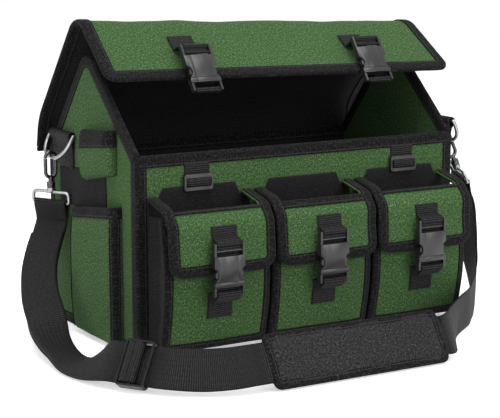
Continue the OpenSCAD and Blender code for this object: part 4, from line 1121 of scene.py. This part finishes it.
# %% Lid cloth, lining and tape
FOLD_START, FOLD_END = (0, 0.024, 0.381), (0, -0.018, 0.381)
lid_outer = lid_layer(1.0, 1.0)
lid_cells = (120, 90)
lid_pieces = [
    cloth("lid_canvas", None, "green_canvas", lid_cells, rounded_end(lid_outer), thick=2 * MM,
          hides=["lid_back_panel", "lid_front_panel"]),
    cloth("lid_lining", None, "black_lining", lid_cells, rounded_end(lid_layer(-1.1, 0.6)), thick=1.8 * MM,
          hides=["lid_back_panel", "lid_front_panel"]),
]
lid_panel = surface_of(lid_layer(0, 0.2), 2 * LID_X, LID_L, outward=-1)
lid_edge = rounded([(2 * LID_X, 4), (2 * LID_X, LID_L), (0, LID_L), (0, 4)], [0, LID_CORNER, LID_CORNER, 0])
lid_pieces.append(bind("lid_tape", None, lid_edge, lid_panel, LID_T, width=13, cells=260,
                       hides=["lid_back_binding", "lid_front_binding"]))
for piece in lid_pieces:
    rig.blend(piece, "lid_back", "lid_front", FOLD_START, FOLD_END)


def place_bead(a, b):
    turn = 2 * math.pi * b
    reach = BEAD_R + ripple(a * 480, b * 9, 1, 25, 0.3)
    y, z = PIN[0] + reach * math.cos(turn), PIN[1] + reach * math.sin(turn)
    return Vector((2 * LID_X * (a - 0.5), y, z)) * MM


cloth("lid_bead", "lid_back", "binding_tape", (120, 14), place_bead, near_edge=True)
print("lid", round(LID_L), "mm from seam to edge")

# %% [markdown]
# ### Lid straps
# Each of the lid's two straps is sewn down on the front slope, stands off the cloth a little, passes round the
# buckle's top bar and ends behind it. It has to lie on the real cloth, so each sewn point asks the lid how far it
# slumps and swells there. The buckle hangs on a joint of its own, and so its short tail rides on the buckle.

# %% Lid straps and the tails of their buckles
lid_fall, lid_out = Vector((-0.7923, -0.6101)), Vector((-0.6101, 0.7923))
lid_edge_spot = Vector((-90.0, 326.0))
lid_bar = Vector((-75.87, 363.38))
buckle_fall = math.radians(56)
down_strap = Vector((-math.cos(buckle_fall), -math.sin(buckle_fall)))
behind = Vector((down_strap.y, -down_strap.x))
tail_bar = Vector((-92.71, 338.43)) + down_strap * 30.1
first_turn = math.degrees(buckle_fall)
over = [Vector(spot) for spot in round_bar(lid_bar, BAR_R, first_turn + 20, first_turn + 180)]
under = [lid_bar + down_strap * d + behind * g for d, g in ((3.8, -0.6), (6.2, 0.2), (8.6, 1.4), (11.5, 3.2))]
for side, name in ((-1, "left"), (1, "right")):
    x = side * 125
    sewn = []
    for d in (70, 62, 54, 47):
        sag = slump(x, LID_L - d)
        swell = max(0, max(ripple(x + k, LID_L - d, 2, 75, 3.2) for k in (-14, 0, 14)) * 0.8)
        sewn.append(lid_edge_spot - lid_fall * d + lid_out * (LID_T / 2 + 1.4 + swell) + Vector((sag.y, sag.z)))
    strap_yz(f"lid_{name}_web", "lid_front", x, [*sewn, *over, *under], hides=["lid_straps"])
    strap_yz(f"lid_{name}_tail_web", f"lid_{name}_buckle", x, round_bar(tail_bar, BAR_R, 60, 400, 24),
             hides=[f"lid_{name}_tail"])
print("lid straps")

# %% [markdown]
# ## The shoulder strap
# The strap hangs from a hook at each end, turns onto its edge and lies round the front of the bag. Its route is
# a list of points with the direction across the strap at each, and a smooth curve runs through both.

# %% The two ends of the strap
STRAP_W = 48.0
LEFT_TURN, RIGHT_TURN, RIGHT_OUT = math.radians(60), math.radians(72), math.radians(25)
LEFT_EYE, RIGHT_EYE = Vector((-249.42, 80, 145.55)), Vector((279.93, -90, 160.32))
left_down, right_down = Vector((0, 0, -1)), Vector((math.sin(RIGHT_OUT), 0, -math.cos(RIGHT_OUT)))
left_across = Vector((math.cos(LEFT_TURN), -math.sin(LEFT_TURN), 0))
right_across = Vector((-math.cos(RIGHT_TURN) * math.cos(RIGHT_OUT), -math.sin(RIGHT_TURN),
                       -math.cos(RIGHT_TURN) * math.sin(RIGHT_OUT)))
left_front, right_front = left_down.cross(left_across), right_across.cross(right_down)
LEFT_END = ("left", LEFT_EYE, left_down, left_across, left_front)
RIGHT_END = ("right", RIGHT_EYE, right_down, right_across, right_front)


def by_eye(end, fall, front=0.0):
    """A row of the route close to an eye: a distance down the strap, and one out from its face."""
    _, eye_spot, down, across, face_out = end
    return eye_spot + down * fall + face_out * front, across


# %% Directions across the strap at the pad and the slider
upright = Vector((0, 0, 1))
lean = math.radians(32)
leaning = Vector((0, math.sin(lean), math.cos(lean)))
PAD_Y, PAD_Z = -319, 31.5 * math.cos(lean) + 5.5 * math.sin(lean) + 0.5
slider_way = Vector((20, -30, 0)).normalized()
slider_lean = math.radians(35)
slider_across = Vector((-slider_way.y * math.sin(slider_lean), slider_way.x * math.sin(slider_lean),
                        math.cos(slider_lean)))

# %% The route of the shoulder strap, from the left eye to the right one
route = [
    by_eye(LEFT_END, -12.6, 3.6),
    by_eye(LEFT_END, -6, 2.4),
    by_eye(LEFT_END, 3, 0.8),
    by_eye(LEFT_END, 12),
    (LEFT_EYE + Vector((-7.6, -7, -25.5)), (0.52, -0.84, 0.03)),
    (LEFT_EYE + Vector((-20.6, -20, -44.5)), (0.56, -0.78, 0.08)),
    (LEFT_EYE + Vector((-34.6, -39, -65.5)), (0.56, -0.80, 0.08)),
    ((-295, 15, 56), (0.58, -0.80, 0.05)),
    ((-301, -15, 35), (0.70, -0.70, -0.03)),
    ((-310, -47, 18), (0.99, -0.10, -0.14)),
    ((-315, -81, 9.5), (0.97, -0.03, -0.20)),
    ((-318, -115, 7), (0.97, -0.12, -0.15)),
    ((-319, -149, 8), (0.98, -0.06, 0.18)),
    ((-317, -182, 16), (0.83, 0.15, 0.55)),
    ((-312.5, -214.5, 27.4), (0.53, 0.31, 0.79)),
    ((-302, -231, 28), slider_across),
    ((-282, -261, 28), slider_across),
    ((-271, -277.5, 28), slider_across),
    ((-243, -301, 28), (0.25, 0.36, 0.87)),
    ((-214, -315, 29), (0.08, 0.46, 0.87)),
    ((-186, PAD_Y, PAD_Z), leaning),
    ((-160, PAD_Y, PAD_Z), leaning),
    ((-46, PAD_Y, PAD_Z), leaning),
    ((66, PAD_Y, PAD_Z), leaning),
    ((84, -317, 29.3), (-0.05, 0.47, 0.88)),
    ((101, -303, 28), (-0.08, 0.33, 0.94)),
    ((122, -279, 27), (-0.04, 0.16, 0.98)),
    ((147, -252, 26), upright),
    ((172, -230.5, 26), upright),
    ((202, -207, 26), upright),
    ((224, -184, 26), upright),
    ((244, -163, 27), (-0.03, -0.05, 1)),
    ((259, -146, 31), (-0.12, -0.20, 0.97)),
    ((268, -132, 40), (-0.20, -0.42, 0.85)),
    ((274, -121, 54), (-0.22, -0.66, 0.65)),
    ((278, -111, 71), (-0.20, -0.82, 0.45)),
    ((281, -104, 89), (-0.20, -0.92, 0.25)),
    (RIGHT_EYE + Vector((4, -8, -53)), (-0.22, -0.95, 0.12)),
    (RIGHT_EYE + Vector((6, -4, -36)), (-0.24, -0.96, 0.02)),
    (RIGHT_EYE + Vector((6.5, -1, -22)), (-0.27, -0.95, -0.05)),
    by_eye(RIGHT_END, 12),
    by_eye(RIGHT_END, 3, 0.8),
    by_eye(RIGHT_END, -6, 2.4),
    by_eye(RIGHT_END, -12.6, 3.6),
]
points = [Vector(row[0]) for row in route]
acrosses = [Vector(row[1]).normalized() for row in route]
LAST = len(route) - 1
print("rows in the strap's route:", len(route))


# %% A smooth band through the rows of the route
def flowing(values, at):
    """A smooth curve through the values, at a whole or part row number."""
    last = len(values) - 1
    i = min(int(at), last - 1)
    t = at - i
    p0, p1, p2, p3 = (values[min(max(i + k, 0), last)] for k in (-1, 0, 1, 2))
    bend, twist = 2 * p0 - 5 * p1 + 4 * p2 - p3, 3 * p1 - p0 - 3 * p2 + p3
    return 0.5 * ((2 * p1) + (p2 - p0) * t + bend * t * t + twist * t ** 3)


def strap_piece(name, body, first, last, lift, cells):
    """The part of the strap between two rows of the route, raised by lift where it lies on another layer."""
    def place(a, b):
        at = first + (last - first) * a
        spot = flowing(points, at)
        ahead_spot, back_spot = flowing(points, min(at + 0.05, LAST)), flowing(points, max(at - 0.05, 0))
        way = (ahead_spot - back_spot).normalized()
        across = flowing(acrosses, at)
        across = (across - way * across.dot(way)).normalized()
        out = way.cross(across)
        ease = 0.6 * (1 - (2 * b - 1) ** 2) + ripple(at * 30, b * 20, lift, 45, 0.7)
        return (spot + across * STRAP_W * (b - 0.5) + out * (lift + ease)) * MM
    return cloth(name, body, "webbing", cells, place, thick=1.8 * MM, hides=["shoulder_strap"])


# %% The strap in five pieces: the two on the case, and the three that bend with an eye
LEFT_ROW, RIGHT_ROW = 9, 31
SECOND_LAYER = 3
LEFT_BLEND = ((-0.290, 0.030, 0.070), (-0.2494, 0.080, 0.146))
RIGHT_BLEND = ((0.279, -0.110, 0.075), (0.280, -0.090, 0.160))
strap_piece("strap_front", "root", LEFT_ROW, RIGHT_ROW, 0, (440, 10))
strap_piece("strap_return_front", "root", LEFT_ROW, 15.4, SECOND_LAYER, (150, 10))
for name, first, last, lift, body, between in (
        ("strap_left_drop", LEFT_ROW, 0, 0, "left_eye", LEFT_BLEND),
        ("strap_return_left", LEFT_ROW, 4, SECOND_LAYER, "left_eye", LEFT_BLEND),
        ("strap_right_drop", RIGHT_ROW, LAST, 0, "right_eye", RIGHT_BLEND)):
    drop = strap_piece(name, None, first, last, lift, (180, 10))
    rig.blend(drop, "root", body, *between)
print("shoulder strap")


# %% [markdown]
# ### The eyes and the slider
# At each end the webbing wraps the low bar of a nickel eye and is sewn back on itself. An eye is a bent wire with
# rounded corners and a small turned post that swivels under the hook. The wire is a closed loop swept with a
# round section, and the post is a profile turned about its own axis, so the same cloth helper makes both, and
# each is merged into one closed shell. On the slider, the webbing shows again where it passes over the middle bar.

# %% The sewn ends round the eyes
BAR_FALL = 13
WRAP_R = 3.7
wrap = Path([(WRAP_R, -1.0), *round_bar((0, 0), WRAP_R, 0, 180), (-3.4, -5), (-2.4, -12), (-1.8, -19)])
for name, eye_spot, down, across, face_out in (LEFT_END, RIGHT_END):
    def place_wrap(a, b, middle=eye_spot - down * BAR_FALL, across=across, face_out=face_out, down=down):
        spot = wrap.at(wrap.length * a)
        return (middle + across * STRAP_W * (b - 0.5) + face_out * spot.x - down * spot.y) * MM
    cloth(f"{name}_eye_web", f"{name}_eye", "webbing", (60, 10), place_wrap, thick=1.7 * MM,
          hides=[f"{name}_strap_end"])
print("eyes are wrapped")

# %% The eyes that the strap is sewn to
EYE_HALF, EYE_H, EYE_WIRE = 27.7, 14.0, 2.2
wire_line = rounded([(-EYE_HALF, 0), (EYE_HALF, 0), (EYE_HALF, EYE_H), (-EYE_HALF, EYE_H)],
                    [2.6, 2.6, 6, 6], 6)
ring = Path([*wire_line, wire_line[0]])
post = Path([(0, 12.2), (3.6, 12.4), (5.0, 13.4), (5.5, 15), (5.5, 18.6), (4.6, 19.8), (2, 20), (2, 25.6),
             (0, 25.7)])
for name, eye_spot, down, across, _ in (LEFT_END, RIGHT_END):
    bar_middle, out = eye_spot - down * BAR_FALL, across.cross(down)

    def place_wire(a, b, bar_middle=bar_middle, down=down, across=across, out=out):
        along = ring.length * (a % 1)
        spot, way = ring.at(along), ring.heading(along, 0.6)
        turn = 2 * math.pi * b
        spot = spot + Vector((way.y, -way.x)) * EYE_WIRE * math.cos(turn)
        return (bar_middle + across * spot.x - down * spot.y + out * EYE_WIRE * math.sin(turn)) * MM

    def place_post(a, b, bar_middle=bar_middle, down=down, across=across, out=out):
        spot, turn = post.at(post.length * a), 2 * math.pi * b
        return (bar_middle + (across * math.cos(turn) + out * math.sin(turn)) * spot.x - down * spot.y) * MM
    close_form(cloth(f"{name}_eye_ring", f"{name}_eye", "nickel", (110, 12), place_wire,
                     hides=[f"{name}_strap_eye"]))
    close_form(cloth(f"{name}_eye_post", f"{name}_eye", "nickel", (40, 24), place_post))
print("eyes")

# %% The webbing that passes over the slider's middle bar
slider_mid = Vector((-292, -246, 28))
slider_out = slider_way.cross(slider_across)
over_bar = Path([(-14.6, 4.0), (-13.2, 7.8), (-10.2, 9.9), (-7.0, 9.5), (-5.0, 8.6), (-2.6, 10.0), (0.8, 10.4),
                 (3.6, 9.0), (4.9, 6.4), (5.0, 3.8)])


def place_over(a, b):
    spot = over_bar.at(over_bar.length * a)
    lift = spot.y + ripple(a * 20, b * 40, 9, 12, 0.6)
    return (slider_mid + slider_way * spot.x + slider_out * lift + slider_across * 47 * (b - 0.5)) * MM


cloth("slider_web", "slider", "webbing", (40, 12), place_over, thick=1.8 * MM)
print("webbing over the slider")

# %% [markdown]
# ## The shoulder pad
# The pad is foam in a cloth sleeve: a closed form, fullest along its middle and thin at its bound edge. It is
# made as a tube whose ends are pinched flat, merged into one closed shell.

# %% Shape of the pad
PAD_L, PAD_W, PAD_T = 238.0, 63.0, 11.0
PAD_TAPER = 16
SEAM_IN = 7
print("pad", PAD_L, "x", PAD_W, "x", PAD_T, "mm")
pad_mid = Vector((-46, PAD_Y, PAD_Z))
pad_out = Vector((1, 0, 0)).cross(leaning)


def pad_half(x, t):
    """Half the pad's thickness: full in the middle, thin at the edge, and pulled in along the seam."""
    from_end, from_side = PAD_L / 2 - abs(x), PAD_W / 2 - abs(t)
    near_end = max(0.0, min(1, from_end / PAD_TAPER)) ** 0.5
    near_side = max(0.0, 1 - (abs(t) / (PAD_W / 2)) ** 5) ** 0.6
    groove = 1 - 0.45 * math.exp(-((min(from_end, from_side) - SEAM_IN) / 2.4) ** 2)
    full = near_end * near_side * groove
    return 1.2 + (PAD_T / 2 - 1.4) * full, ripple(x, t, 6, 40, 0.9) * full


def place_pad(a, b):
    x = (a - 0.5) * (PAD_L - 2)
    turn = 2 * math.pi * b
    c, s = math.cos(turn), math.sin(turn)
    t = math.copysign(abs(c) ** 0.55, c) * (PAD_W / 2 - 1)
    thick, lump = pad_half(x, t)
    out = math.copysign(abs(s) ** 0.3, s) * thick + lump
    return (pad_mid + Vector((x, 0, 0)) + leaning * t + pad_out * out) * MM


def measure_pad(bm):
    """Lays the pad's UV map straight through it, in metres along and across."""
    uv = bm.loops.layers.uv.active
    for face in bm.faces:
        for corner in face.loops:
            spot = corner.vert.co - pad_mid * MM
            corner[uv].uv = (spot.x, spot.dot(leaning))


# %% The pad's cover
pad = cloth("shoulder_pad_cover", "pad", "black_lining", (120, 48), place_pad, hides=["shoulder_pad"],
            tone=pad_cloth)
close_form(reshape(pad, measure_pad))
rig.padded(pad, fill=0.7)


# %% The pad's sewn lines and its tape
def pad_plane(p):
    """The flat middle of the pad, which its tape is folded over."""
    return pad_mid + Vector((p.x, 0, 0)) + leaning * p.y, -pad_out


def pad_stitches(name, start, end):
    """A straight sewn line on the pad's face, 1.9 mm wide, toned near black as painted shade of its groove."""
    line = Path([start, end])

    def place_line(a, b):
        along = line.length * a
        spot, way = line.at(along), line.heading(along)
        spot = spot + Vector((-way.y, way.x)) * (b - 0.5) * 1.9
        thick, lump = pad_half(spot.x, spot.y)
        return (pad_mid + Vector((spot.x, 0, 0)) + leaning * spot.y - pad_out * (thick + lump + 0.5)) * MM
    cells = (int(line.length / 2), 2)
    # The line's near-black tone is painted shade of the groove it lies in, over the thread's own dark colour.
    cloth(name, "pad", "binding_tape", cells, place_line, thick=0.5 * MM, tone=thread_with_groove_shade)


half_l, half_w = PAD_L / 2, PAD_W / 2
in_x, in_t = half_l - SEAM_IN, half_w - SEAM_IN
pad_stitches("pad_top_stitches", (-in_x, in_t), (in_x, in_t))
pad_stitches("pad_low_stitches", (-in_x, -in_t), (in_x, -in_t))
for name, at_x in (("left_outer", -in_x), ("left_inner", -in_x + 10), ("right_inner", in_x - 10),
                   ("right_outer", in_x)):
    pad_stitches(f"pad_{name}_stitches", (at_x, -in_t), (at_x, in_t))
pad_edge = rounded([(-half_l, -half_w), (half_l, -half_w), (half_l, half_w), (-half_l, half_w)], [8, 8, 8, 8])
bind("shoulder_pad_tape", "pad", [*pad_edge, pad_edge[0]], pad_plane, 3.2, width=8, cells=150)
print("shoulder pad")

# %% [markdown]
# ## Hardware
# The buckles, ladder locks, rings, hooks, gates and the slider keep the frame's own solids, which are right to a
# fraction of a millimetre. A moulded or cast edge is never sharp, so each gets a small bevel, after its triangles
# are joined. The board in the base is a flat sheet in black cloth and stays as it is.

# %% Hardware from the frame: the first matching word gives the finish and the edge in millimetres
HARDWARE = (
    (("socket", "plug", "arm_", "ladder_locks"), plastic.material, 0.45),
    (("strap_slider",), black_metal.material, 0.5),
    (("hook", "gate"), gunmetal.material, 0.25),
    (("base_board",), lining, 0.0),
    (("",), nickel.material, 0.25),
)
for name, node in nodes.items():
    if node.hide_render:
        continue
    tone, edge = next((tone, edge) for words, tone, edge in HARDWARE if any(word in name for word in words))
    node.data.materials.clear()
    node.data.materials.append(tone)
    if edge:
        join = node.modifiers.new("join", "WELD")
        join.merge_threshold = 0.00002
        soften = node.modifiers.new("moulded_edge", "BEVEL")
        soften.width = edge * MM
        soften.segments = 2
        soften.limit_method = "ANGLE"
        soften.angle_limit = math.radians(35)
        soften.harden_normals = True
print("hardware")

# %% Sizes before and after, and the end
scene_box = [list(corner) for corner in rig.bounds()]
with open("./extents.json", "w") as handle:
    json.dump({"cad": cad_box, "visual": scene_box}, handle)
print("pieces of cloth:", len(cloth_made))
